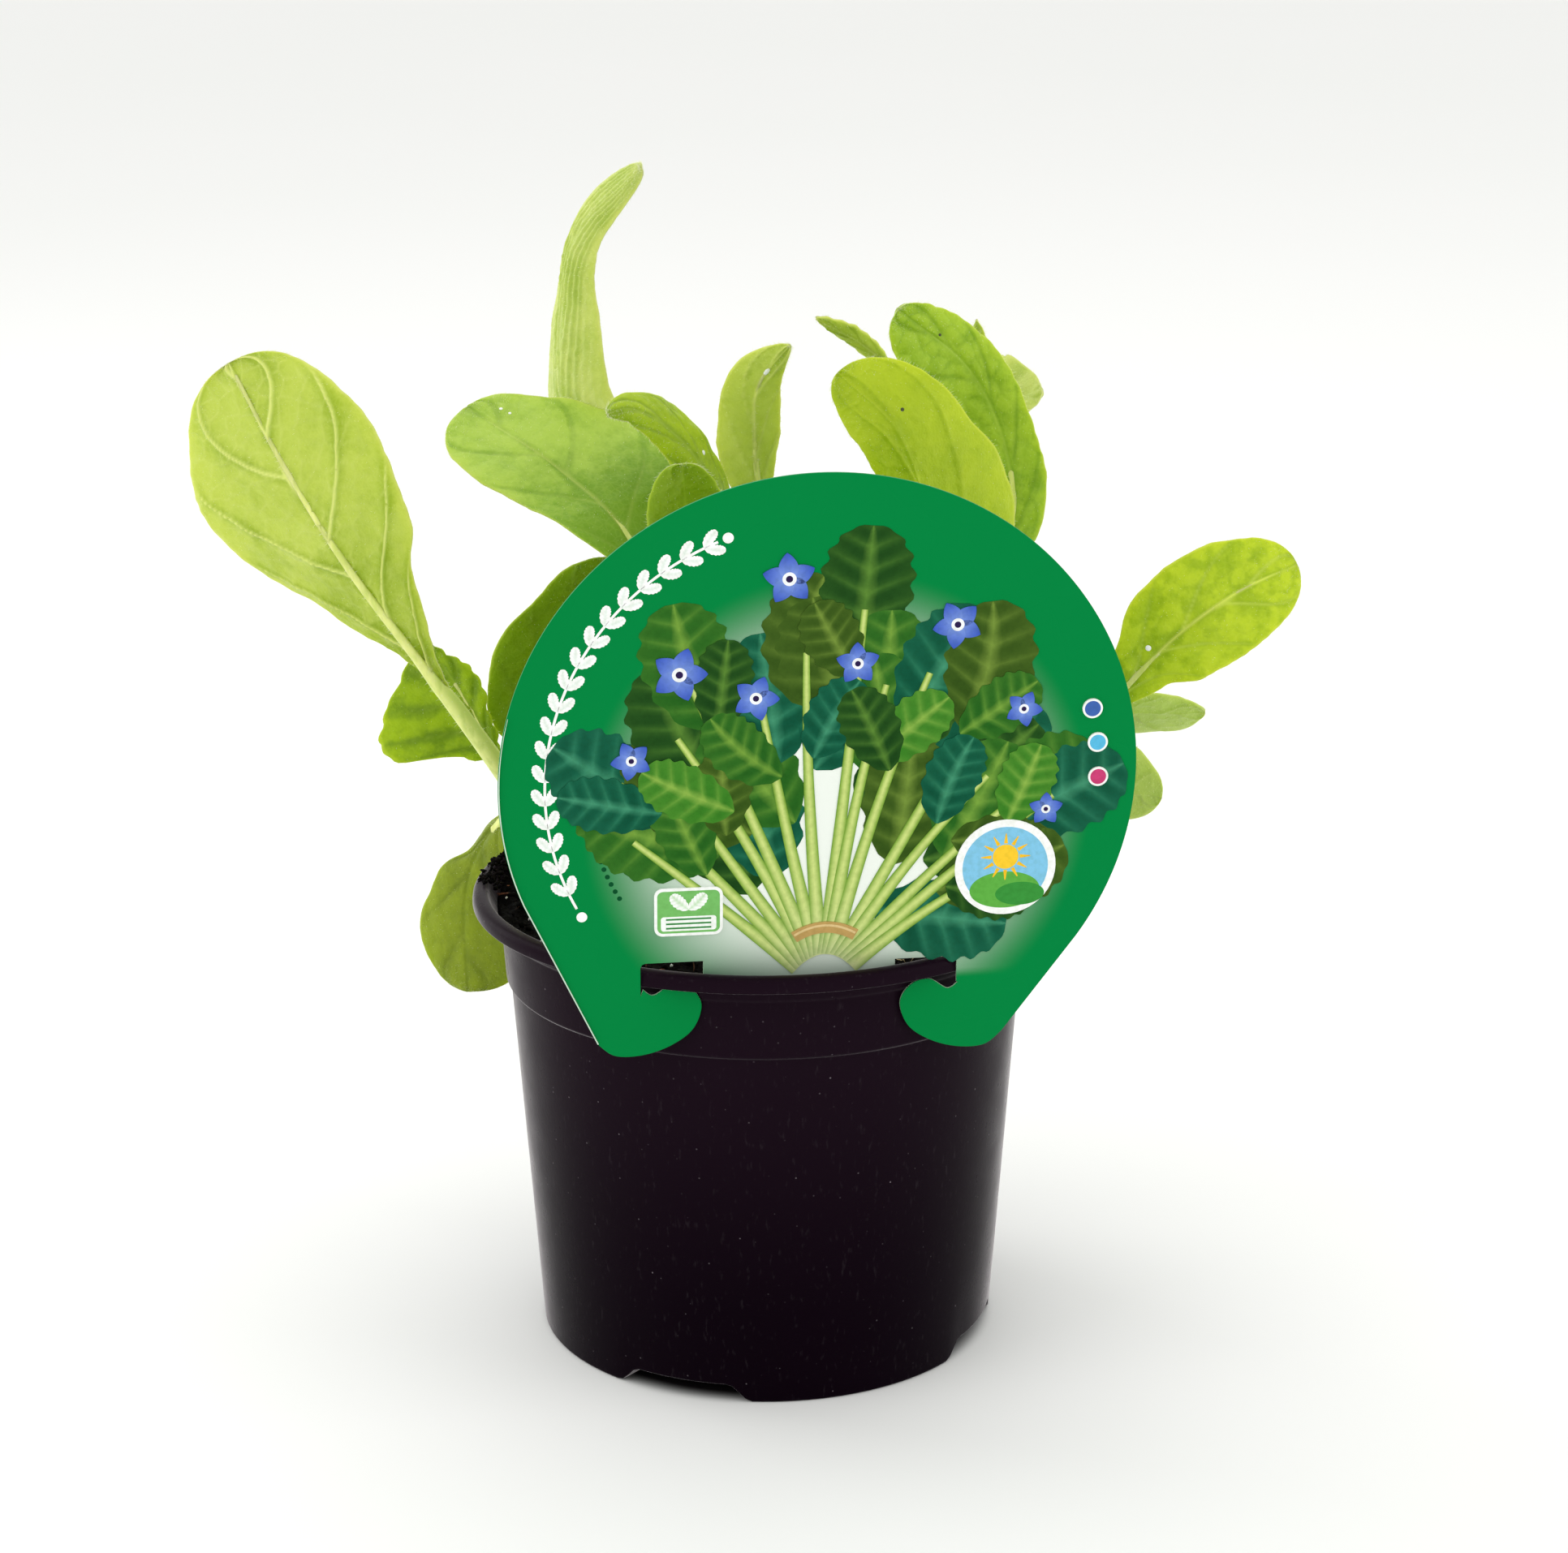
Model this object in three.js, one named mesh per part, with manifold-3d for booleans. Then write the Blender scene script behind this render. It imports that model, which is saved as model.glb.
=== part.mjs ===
// A pot of young borage: five seedlings in peat, in a round nursery pot with a hang-on label.
// Millimetres, +Z up. The origin is the middle of the pot's foot, and the front faces -Y.

import * as THREE from "three";
import { mergeVertices } from "three/addons/utils/BufferGeometryUtils.js";
import Module from "manifold-3d";

const wasm = await Module();
wasm.setup();

// Driving dimensions

const GAP = 0.3; // left between pieces that touch

const POT = {
  height: 83,
  lipRadius: 52.5,
  lipDrop: 2.3, // height of the skirt that hangs from the lip
  mouthRadius: 50,
  collarRadius: 47.6, // outside, at the top of the straight collar
  collarFoot: 63.6, // height of the step under the collar
  stepRadius: 46.6,
  bodyTopRadius: 45.7,
  footRadius: 40.9,
  wall: 0.85,
  floor: 1.2,
  sides: 40,
};

const FOOT = {
  bossRadius: 9, // flat middle of the base, level with its outer ring
  ringRadius: 26,
  recess: 1.2, // height of the base between the boss and the ring
  notches: [-20, 70, 160, 250], // degrees from the front towards +X
  notchHalfAngle: 17,
  notchHeight: 3.5,
  notchInnerRadius: 29,
  drainRadius: 3,
  drainDistance: 34.5,
};

const SOIL = {
  bottom: 5,
  wallTop: 75.6, // below it the soil follows the collar, above it the mouth's flare
  edgeHeight: 79.6,
  edgeRadius: 47.5,
  crown: 1.2, // the middle stands this much above the edge
  lump: 0.8,
  rings: 8,
};

const LABEL = {
  radius: 52.6,
  thickness: 0.5,
  turn: 7.6, // degrees about Z, towards +X
  lean: 4.73, // degrees forward, as the pot's wall
  distance: 45.6, // from the pot's axis at the height of the rim
  centre: [3.3, 32.9], // of the disc, from the rim along and up the label
  hookCentre: -3.2, // the rest is measured from the disc's centre
  slotTop: -32.6,
  slotOuter: 27.3,
  slotInner: 16.3,
  tongue: -34.8,
  flankLeft: 201.8, // where the round edge turns straight, in degrees
  flankRight: -34,
  arcSteps: 56,
  hookSteps: 16,
};

// Half of the hook's outline from its slot round the head to the flank: distance from the
// middle between the hooks, and height from the disc's centre
const HOOK = [
  [27.3, -37.3], [25.4, -38.5], [22.3, -36.6], [19.2, -37.4], [17.3, -40.6],
  [18.7, -45.0], [22.4, -47.9], [27.2, -49.5], [32.0, -49.4], [35.0, -47.0],
];

const BLADE = {
  thickness: 0.7,
  rows: 12, // along a blade that is wider than smallWidth
  smallRows: 8,
  smallWidth: 16,
  veinLean: 0.11, // how far a side vein runs towards the tip, as a share of the blade
  ribHalfWidth: 0.9,
};

const STEM = { sides: 8, stalkSides: 5, rootHeight: 65, soilTop: 83 };

// Each leaf: path from its root in the stem to its tip; base, the share of the path where the
// blade starts; width; widest and tip, which shape its outline; skew, how much wider the left
// half is; face and faceTip, where its upper side looks at its base and tip; cup, how far its
// halves fold up at base and tip, in radians; quilt, how far it bulges between its veins;
// ruffle and teeth, the wave and the cut of its edge; stalk, its radius at root and blade.

const SEEDLINGS = {
  seedling_left: {
    foot: [-42.5, 5],
    top: [-42.5, 3, 92],
    radius: 2.1,
    leaves: [
      { // the large seed leaf that leans out to the left
        path: [[-42.5, 3, 88], [-43, -4, 99], [-46.5, -13, 109], [-56.5, -21, 127],
          [-69.5, -25.5, 147], [-80.5, -27, 166], [-88, -23, 183.5]],
        base: 0.38, width: 36, widest: 0.66, tip: 0.44, skew: 0.1,
        face: [0.35, 0.75, 0.55], faceTip: [0.2, 0.95, 0.2], cup: [0.25, 0.1],
        quilt: 0.35, ruffle: 0.5, stalk: [1.9, 1.2],
      },
      { // a crinkled toothed leaf behind it
        path: [[-42.5, 3, 89], [-45, 7, 95], [-49, 10, 103], [-58.5, 8, 111], [-69, 3, 113]],
        base: 0.42, width: 19, widest: 0.5, tip: 0.5, skew: 0,
        face: [-0.1, -0.85, 0.45], faceTip: [-0.4, -0.7, 0.5], cup: [0.1, 0],
        quilt: 0.6, ruffle: 0.5, teeth: 0.09, stalk: [1.4, 0.9],
      },
      { // a dark leaf half behind the label
        path: [[-42.5, 3, 89], [-43.5, 9, 98], [-44, 13, 108.5], [-40, 12, 124], [-27, 8, 141]],
        base: 0.32, width: 21.5, widest: 0.5, tip: 0.45, skew: 0,
        face: [-0.3, 0.8, 0.5], faceTip: [-0.4, 0.7, 0.5], cup: [0.1, 0.1],
        quilt: 0.4, ruffle: 1.0, stalk: [1.5, 1.0],
      },
      { // a seed leaf that hangs over the rim
        path: [[-42.5, 3, 86], [-43.5, 15, 88], [-48, 26, 87.5], [-54, 31, 79.5],
          [-57, 32, 68], [-56.5, 29, 50.5]],
        base: 0.38, width: 24, widest: 0.6, tip: 0.45, skew: 0,
        face: [-0.35, -0.75, 0.7], faceTip: [-0.4, -0.9, 0.1], cup: [-0.2, -0.2],
        quilt: 0.35, ruffle: 0.5, stalk: [1.4, 1.0],
      },
    ],
  },
  seedling_middle_left: {
    foot: [-12, 2],
    top: [-12.5, 1, 108],
    radius: 2.4,
    leaves: [
      { // the tall leaf, seen from its edge
        path: [[-12.5, 1, 104], [-16, 7, 120], [-22, 15, 138], [-29, 18, 152], [-34.5, 18, 169.5],
          [-35, 16, 184.5], [-31.5, 13, 197.5], [-21, 5, 209.5]],
        base: 0.32, width: 26, widest: 0.3, tip: 0.52, skew: 0.1,
        face: [0.87, 0.5, 0], faceTip: [0.8, 0.5, -0.3], cup: [0.3, 0.3],
        quilt: 0.4, ruffle: 0.4, teeth: 0.04, stalk: [1.5, 1.1],
      },
      { // a broad seed leaf that shows its upper side
        path: [[-12.5, 1, 104], [-15, -7, 124], [-22.5, -12, 148.5], [-35.5, -3, 159.5],
          [-51.5, 8, 169]],
        base: 0.52, width: 31, widest: 0.55, tip: 0.42, skew: 0.08,
        face: [0.21, -0.575, 0.793], faceTip: [0.21, -0.575, 0.793], cup: [0.1, 0],
        quilt: 0.4, ruffle: 0.7, stalk: [1.7, 1.1],
      },
      { // a leaf that arches over and curls its tip
        path: [[-12.5, 1, 104], [-6, 4, 124], [-6.5, -4, 153], [-10, -8, 163.5], [-17, -12, 170],
          [-26, -16.5, 171.5]],
        base: 0.5, width: 18, widest: 0.5, tip: 0.5, skew: 0,
        face: [0.5, -0.5, 0.7], faceTip: [-0.1, -0.7, 0.7], cup: [-0.3, -0.3],
        quilt: 0.5, ruffle: 0.4, teeth: 0.05, stalk: [1.3, 0.9],
      },
      { // a small seed leaf close behind the label
        path: [[-12.5, 1, 103], [-9, -10, 122], [-11.5, -20, 146], [-13.5, -24.5, 156.5],
          [-13.5, -25, 165]],
        base: 0.58, width: 15, widest: 0.5, tip: 0.42, skew: 0,
        face: [0, 0.9, 0.3], faceTip: [0, 0.9, 0.3], cup: [0.2, 0.2],
        quilt: 0.3, ruffle: 0.3, stalk: [1.4, 0.9],
      },
    ],
  },
  seedling_middle_right: {
    foot: [11, 3],
    top: [11.5, 3, 106],
    radius: 2.4,
    leaves: [
      { // a slim upright leaf
        path: [[11.5, 3, 102], [5, 9, 124], [0, 8, 151], [-1.5, 4, 164.5], [0.3, 1.5, 173.5],
          [4.7, -1.5, 180.3]],
        base: 0.58, width: 12.5, widest: 0.5, tip: 0.6, skew: 0,
        face: [0, 0.95, 0.2], faceTip: [0.3, 0.9, 0.1], cup: [0.2, 0.3],
        quilt: 0.3, ruffle: 0.3, stalk: [1.3, 0.8],
      },
      { // a narrow young leaf
        path: [[11.5, 3, 102], [24, 19, 127], [28, 24, 162.5], [20.5, 20, 175], [9.5, 14, 182.5]],
        base: 0.72, width: 6.5, widest: 0.5, tip: 0.7, skew: 0,
        face: [-0.5, 0.3, 0.8], faceTip: [-0.5, 0.3, 0.8], cup: [0.3, 0.3],
        quilt: 0.2, ruffle: 0.2, teeth: 0.05, stalk: [1.2, 0.7],
      },
      { // the large seed leaf at the front
        path: [[11.5, 3, 101], [24, -8, 117], [31, -17, 136.5], [26, -24, 157], [20.5, -26, 171],
          [13.5, -23, 180]],
        base: 0.42, width: 30, widest: 0.5, tip: 0.45, skew: -0.3,
        face: [-0.4, 0.8, 0.4], faceTip: [-0.5, 0.7, 0.3], cup: [0.3, 0.1],
        quilt: 0.35, ruffle: 0.5, stalk: [1.9, 1.2],
      },
      { // the crinkled true leaf behind it
        path: [[11.5, 3, 102], [32, 3, 124], [42, 1, 147], [41, 2.5, 161], [34.5, 2, 175],
          [24, -3.5, 187.5]],
        base: 0.5, width: 25, widest: 0.5, tip: 0.45, skew: -0.28,
        face: [-0.3, -0.6, 0.6], faceTip: [-0.3, -0.85, 0.3], cup: [0.1, 0],
        quilt: 0.6, ruffle: 0.5, teeth: 0.05, stalk: [1.6, 1.0],
      },
      { // a small rounded leaf at the back
        path: [[11.5, 3, 102], [33, 17, 122], [39.5, 19, 151.5], [41, 19, 167], [49.5, 15, 172.5]],
        base: 0.76, width: 12, widest: 0.5, tip: 0.45, skew: 0,
        face: [-0.3, -0.6, 0.6], faceTip: [-0.3, -0.6, 0.6], cup: [0.1, 0],
        quilt: 0.4, ruffle: 0.4, teeth: 0.06, stalk: [1.3, 0.8],
      },
    ],
  },
  seedling_right: {
    foot: [31, 3],
    top: [31.5, 2, 92],
    radius: 2.1,
    leaves: [
      { // the seed leaf that leans out to the right
        path: [[31.5, 2, 88], [44, -9, 102], [60.5, -16, 121.5], [69.5, -20, 133.5],
          [79.5, -22, 142], [91, -20, 146.5]],
        base: 0.45, width: 21.5, widest: 0.6, tip: 0.42, skew: 0.05,
        face: [0.25, -0.8, 0.55], faceTip: [0.1, -0.95, 0.2], cup: [0.1, 0],
        quilt: 0.45, ruffle: 0.4, stalk: [1.6, 0.9],
      },
      { // a level leaf below it
        path: [[31.5, 2, 89], [47, 12, 103], [62, 18, 109], [73, 20, 108], [81, 20, 107.5]],
        base: 0.5, width: 17, widest: 0.5, tip: 0.5, skew: 0,
        face: [0, 0.7, 0.7], faceTip: [0, 0.7, 0.7], cup: [0.1, 0.1],
        quilt: 0.3, ruffle: 0.4, stalk: [1.3, 0.9],
      },
      { // a round leaf, lowest on the right
        path: [[31.5, 2, 87], [44, 6, 95], [57.5, 9, 98], [65.5, 11, 96.5], [72.5, 11, 95.5]],
        base: 0.5, width: 18, widest: 0.5, tip: 0.42, skew: 0,
        face: [0, 0.9, 0.4], faceTip: [0, 0.9, 0.4], cup: [0.1, 0.1],
        quilt: 0.35, ruffle: 0.5, stalk: [1.3, 0.9],
      },
    ],
  },
  seedling_back: {
    foot: [1, 27],
    top: [1, 28, 98],
    radius: 2.1,
    leaves: [
      { // two seed leaves and two toothed leaves that lean towards the back
        path: [[1, 28, 94], [10, 33, 108], [22, 39, 119], [33, 44, 125], [42, 46, 127]],
        base: 0.38, width: 22, widest: 0.62, tip: 0.45, skew: 0,
        face: [-0.3, -0.35, 0.9], faceTip: [0, -0.2, 0.95], cup: [0.2, 0.1],
        quilt: 0.4, ruffle: 0.5, stalk: [1.5, 1.0],
      },
      {
        path: [[1, 28, 94], [-8, 34, 105], [-18, 42, 114], [-28, 49, 117], [-36, 54, 114]],
        base: 0.38, width: 21, widest: 0.62, tip: 0.45, skew: 0,
        face: [0.3, -0.3, 0.9], faceTip: [-0.2, 0.1, 0.95], cup: [0.2, 0.1],
        quilt: 0.4, ruffle: 0.5, stalk: [1.5, 1.0],
      },
      {
        path: [[1, 28, 95], [2, 32, 110], [5, 40, 123], [8, 50, 131], [9, 60, 130]],
        base: 0.4, width: 19, widest: 0.5, tip: 0.5, skew: 0,
        face: [0, -0.5, 0.8], faceTip: [0, 0.2, 0.95], cup: [0.2, 0.1],
        quilt: 0.6, ruffle: 0.6, teeth: 0.08, stalk: [1.3, 0.8],
      },
      {
        path: [[1, 28, 95], [-4, 27, 110], [-8, 28, 123], [-11, 31, 133], [-13, 36, 139]],
        base: 0.5, width: 13, widest: 0.5, tip: 0.5, skew: 0,
        face: [0.4, -0.6, 0.6], faceTip: [0.3, -0.5, 0.8], cup: [0.3, 0.2],
        quilt: 0.5, ruffle: 0.4, teeth: 0.08, stalk: [1.1, 0.7],
      },
    ],
  },
};

const MATERIALS = {
  pot: { color: 0x17131a, roughness: 0.42, metalness: 0 },
  soil: { color: 0x120b09, roughness: 1, metalness: 0 },
  label: { color: 0x00873f, roughness: 0.35, metalness: 0 },
  leaf: { color: 0xa6c340, roughness: 0.55, metalness: 0 },
};

// Helpers

const radians = THREE.MathUtils.degToRad;
const mix = THREE.MathUtils.lerp;

// A closed geometry as a manifold solid, turned right side out if its faces point inwards.
function solid(geometry) {
  const bare = geometry.clone();
  bare.deleteAttribute("normal");
  bare.deleteAttribute("uv");
  const merged = mergeVertices(bare, 1e-4);
  const triVerts = Uint32Array.from(merged.index.array);
  if (signedVolume(merged) < 0) {
    for (let i = 0; i < triVerts.length; i += 3) {
      [triVerts[i], triVerts[i + 1]] = [triVerts[i + 1], triVerts[i]];
    }
  }
  const vertProperties = Float32Array.from(merged.attributes.position.array);
  return new wasm.Manifold(new wasm.Mesh({ numProp: 3, vertProperties, triVerts }));
}

function signedVolume(geometry) {
  const p = geometry.attributes.position;
  const corners = [new THREE.Vector3(), new THREE.Vector3(), new THREE.Vector3()];
  let volume = 0;
  for (let i = 0; i < geometry.index.count; i += 3) {
    corners.forEach((corner, k) => corner.fromBufferAttribute(p, geometry.index.getX(i + k)));
    volume += corners[0].dot(corners[1].clone().cross(corners[2])) / 6;
  }
  return volume;
}

function geometryOf(body) {
  const mesh = body.getMesh();
  const geometry = new THREE.BufferGeometry();
  geometry.setAttribute("position", new THREE.BufferAttribute(mesh.vertProperties, 3));
  geometry.setIndex(new THREE.BufferAttribute(mesh.triVerts, 1));
  geometry.computeVertexNormals();
  return geometry;
}

// A profile of [radius, height] turned about Z.
function turned(profile, sides) {
  const points = profile.map(([radius, height]) => new THREE.Vector2(radius, height));
  return new THREE.LatheGeometry(points, sides).rotateX(Math.PI / 2);
}

function cylinder(x, y, bottom, top, radius, sides) {
  const geometry = new THREE.CylinderGeometry(radius, radius, top - bottom, sides);
  return solid(geometry.rotateX(Math.PI / 2).translate(x, y, (bottom + top) / 2));
}

// A sector of a ring, centred on an azimuth measured from the front towards +X.
function sector(azimuth, halfAngle, inner, outer, bottom, top) {
  const shape = new THREE.Shape();
  const middle = radians(azimuth - 90);
  const half = radians(halfAngle);
  shape.absarc(0, 0, outer, middle - half, middle + half, false);
  shape.absarc(0, 0, inner, middle + half, middle - half, true);
  const options = { depth: top - bottom, bevelEnabled: false, curveSegments: 8 };
  return solid(new THREE.ExtrudeGeometry(shape, options).translate(0, 0, bottom));
}

// Pot

function potProfile() {
  const { height, lipRadius, lipDrop, mouthRadius, wall, floor } = POT;
  const underLip = height - 1.2;
  const outside = [
    [FOOT.bossRadius, 0],
    [FOOT.bossRadius + 0.6, FOOT.recess],
    [FOOT.ringRadius, FOOT.recess],
    [FOOT.ringRadius + 0.6, 0],
    [POT.footRadius - 0.5, 0],
    [POT.footRadius, 0.6],
    [POT.bodyTopRadius, POT.collarFoot - 0.7],
    [POT.stepRadius, POT.collarFoot],
    [POT.collarRadius, height - 7],
    [POT.collarRadius + 1.2, height - 3.8],
    [POT.collarRadius + 2.1, height - 2.2],
    [POT.collarRadius + 2.6, underLip],
  ];
  const lip = [
    [lipRadius - 0.9, underLip],
    [lipRadius - 0.8, height - lipDrop],
    [lipRadius, height - lipDrop],
    [lipRadius, height - 0.5],
    [lipRadius - 0.4, height],
    [mouthRadius, height],
  ];
  const inside = [
    [mouthRadius - 0.4, height - 0.6],
    [POT.collarRadius + 1.3, height - 2.2],
    [POT.collarRadius + 0.4, height - 3.9],
    [POT.collarRadius - wall, height - 7],
    [POT.stepRadius - wall, POT.collarFoot],
    [POT.bodyTopRadius - wall, POT.collarFoot - 0.9],
    [POT.footRadius - wall + 0.1, floor],
    [FOOT.ringRadius + 1, floor],
    [FOOT.ringRadius, FOOT.recess + floor],
  ];
  return [[0, 0], ...outside, ...lip, ...inside, [0, FOOT.recess + floor]];
}

// The base stands on its boss and on a flat ring with four notches, each with a drain hole.
function pot() {
  let body = solid(turned(potProfile(), POT.sides));
  const roof = FOOT.notchHeight + POT.floor;
  for (const azimuth of FOOT.notches) {
    const block = sector(
      azimuth, FOOT.notchHalfAngle + 2, FOOT.notchInnerRadius - 1.2, POT.footRadius - 0.4, 0, roof);
    const notch = sector(
      azimuth, FOOT.notchHalfAngle, FOOT.notchInnerRadius, POT.footRadius + 2, -1, FOOT.notchHeight);
    const x = FOOT.drainDistance * Math.sin(radians(azimuth));
    const y = -FOOT.drainDistance * Math.cos(radians(azimuth));
    const drain = cylinder(x, y, 0, 2 * roof, FOOT.drainRadius, 12);
    body = body.add(block).subtract(notch).subtract(drain);
  }
  return geometryOf(body);
}

// Soil

// Lumps on the soil: three crossed waves of unlike length.
function soilRelief(x, y) {
  const coarse = Math.sin(x * 0.31 + 1.7 * Math.sin(y * 0.17)) * Math.sin(y * 0.37 + 0.6);
  const medium = Math.sin(x * 0.83 + y * 0.41) * Math.cos(y * 0.91 - x * 0.23);
  const fine = Math.sin(x * 2.1 - y * 1.3) * Math.sin(y * 1.9 + x * 0.7);
  return SOIL.lump * (0.5 * coarse + 0.35 * medium + 0.25 * fine);
}

function soil() {
  const clear = POT.wall + GAP;
  const profile = [
    [0, SOIL.bottom],
    [POT.footRadius - clear, SOIL.bottom],
    [POT.bodyTopRadius - clear - 0.1, POT.collarFoot - 1.2],
    [POT.stepRadius - clear - 0.1, POT.collarFoot + 0.4],
    [POT.collarRadius - clear - 0.1, SOIL.wallTop],
  ];
  for (let ring = 0; ring <= SOIL.rings; ring += 1) {
    const share = 1 - ring / SOIL.rings;
    const height = SOIL.edgeHeight + SOIL.crown * (1 - share * share);
    profile.push([SOIL.edgeRadius * share, height]);
  }
  const geometry = turned(profile, POT.sides);
  const p = geometry.attributes.position;
  for (let i = 0; i < p.count; i += 1) {
    if (p.getZ(i) >= SOIL.edgeHeight - 1e-3) {
      p.setZ(i, p.getZ(i) + soilRelief(p.getX(i), p.getY(i)));
    }
  }
  let body = solid(geometry);
  for (const { foot, radius } of Object.values(SEEDLINGS)) {
    const bottom = STEM.rootHeight - GAP;
    body = body.subtract(cylinder(...foot, bottom, POT.height, radius + GAP + 0.1, 12));
  }
  return geometryOf(body);
}

// Label

function arcPoints(radius, from, to, steps) {
  return Array.from({ length: steps + 1 }, (_, i) => {
    const angle = radians(mix(from, to, i / steps));
    return new THREE.Vector2(radius * Math.cos(angle), radius * Math.sin(angle));
  });
}

// One hook with its slot, from the flank round the head to the tongue's corner.
function hookPoints(side) {
  const at = ([x, y]) => new THREE.Vector2(LABEL.hookCentre + side * x, y);
  const head = new THREE.SplineCurve([...HOOK].reverse().map(at)).getPoints(LABEL.hookSteps);
  const slot = [
    [LABEL.slotOuter, LABEL.slotTop - 0.8],
    [LABEL.slotOuter - 0.8, LABEL.slotTop],
    [LABEL.slotInner, LABEL.slotTop],
    [LABEL.slotInner, LABEL.tongue],
  ];
  return [...head, ...slot.map(at)];
}

function label() {
  const disc = arcPoints(LABEL.radius, LABEL.flankRight, LABEL.flankLeft, LABEL.arcSteps);
  const outline = new THREE.Shape([...disc, ...hookPoints(-1), ...hookPoints(1).reverse()]);
  const options = { depth: LABEL.thickness, bevelEnabled: false };
  const geometry = new THREE.ExtrudeGeometry(outline, options);
  return geometry.translate(LABEL.centre[0], LABEL.centre[1], -LABEL.thickness / 2);
}

// From the label's own plane (x along it, y up it, z out of its face) to its place on the rim.
function labelPlace() {
  const place = new THREE.Group();
  const turn = radians(LABEL.turn);
  place.position.set(
    LABEL.distance * Math.sin(turn), -LABEL.distance * Math.cos(turn), POT.height);
  place.rotation.set(Math.PI / 2 + radians(LABEL.lean), 0, turn, "ZYX");
  return place;
}

// Seedlings

const vector = (xyz) => new THREE.Vector3(...xyz);
const curveOf = (points) => new THREE.CatmullRomCurve3(points.map(vector), false, "catmullrom", 0.5);

// Half the blade's width at s, from 0 at its base to 1 at its tip, at most half the width.
function halfWidth(leaf, s) {
  const { widest, tip } = leaf;
  const rise = (tip * widest) / (1 - widest);
  return (leaf.width / 2) * Math.pow(s / widest, rise) * Math.pow((1 - s) / (1 - widest), tip);
}

// The blade's frame at s: its midrib, its width's direction and its upper side's normal.
function bladeFrame(leaf, s) {
  const share = Math.min(mix(leaf.base, 1, s), 1);
  const centre = leaf.curve.getPointAt(share);
  const along = leaf.curve.getTangentAt(share);
  const face = vector(leaf.face).multiplyScalar(1 - s).addScaledVector(vector(leaf.faceTip), s);
  const side = along.clone().cross(face).normalize();
  const normal = side.clone().cross(along).normalize();
  return { centre, side, normal };
}

// A point of the blade: s runs from base to tip, u from the right edge (-1) to the left (1),
// and lift is the distance above the blade's middle surface.
function bladePoint(leaf, row, s, u, lift) {
  const across = Math.abs(u);
  const along = Math.min(s + BLADE.veinLean * across * Math.sin(Math.PI * s), 0.995);
  const { centre, side, normal } = bladeFrame(leaf, along);
  const onVein = row % 2 === 0;
  const tooth = 1 + (leaf.teeth ?? 0) * (onVein ? across * across : -across * across);
  const half = Math.max(halfWidth(leaf, along), 0.7) * tooth * (1 + leaf.skew * Math.sign(u));
  const fold = mix(leaf.cup[0], leaf.cup[1], along);
  const bulge = leaf.quilt * (onVein ? -0.5 : 0.5) * Math.sin(Math.PI * Math.min(across, 0.9));
  const wave = leaf.ruffle * u * across * Math.sin(2 * Math.PI * 2.5 * along + u);
  const out = half * across * Math.sin(fold * (0.35 + 0.65 * across));
  return centre
    .addScaledVector(side, half * u * Math.cos(0.9 * fold * across))
    .addScaledVector(normal, out + bulge + wave + lift);
}

// Rows lie closer together towards the tip, so that its end is round.
function bladeRows(leaf) {
  const rows = leaf.width > BLADE.smallWidth ? BLADE.rows : BLADE.smallRows;
  return Array.from({ length: rows + 1 }, (_, i) => {
    const share = i / rows;
    return 0.5 * share + 0.25 * (1 - Math.cos(Math.PI * share));
  });
}

// A closed blade: an upper and a lower grid split alike, joined round the edge, with the
// midrib standing out below.
function blade(leaf) {
  const rows = bladeRows(leaf);
  const rib = (2 * BLADE.ribHalfWidth) / leaf.width;
  const columns = [-1, -0.55, -rib, 0, rib, 0.55, 1];
  const positions = [];
  for (const face of [1, -1]) {
    rows.forEach((s, row) => {
      for (const u of columns) {
        const ribDepth = u === 0 && face < 0 ? mix(leaf.stalk[1], 0.2, s) : 0;
        const lift = face * (BLADE.thickness / 2 + ribDepth);
        positions.push(...bladePoint(leaf, row, s, u, lift).toArray());
      }
    });
  }
  const across = columns.length;
  const lower = rows.length * across;
  const index = [];
  const quad = (a, b, c, d) => index.push(a, b, c, a, c, d);
  for (let row = 0; row < rows.length - 1; row += 1) {
    for (let column = 0; column < across - 1; column += 1) {
      const a = row * across + column;
      const [b, c, d] = [a + 1, a + across + 1, a + across];
      quad(a, b, c, d);
      index.push(lower + a, lower + c, lower + b, lower + a, lower + d, lower + c);
    }
    const left = row * across;
    const right = left + across - 1;
    quad(left, left + across, lower + left + across, lower + left);
    quad(right, lower + right, lower + right + across, right + across);
  }
  for (let column = 0; column < across - 1; column += 1) {
    const last = (rows.length - 1) * across + column;
    quad(column, lower + column, lower + column + 1, column + 1);
    quad(last, last + 1, lower + last + 1, lower + last);
  }
  const geometry = new THREE.BufferGeometry();
  geometry.setAttribute("position", new THREE.Float32BufferAttribute(positions, 3));
  geometry.setIndex(index);
  return solid(geometry);
}

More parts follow.
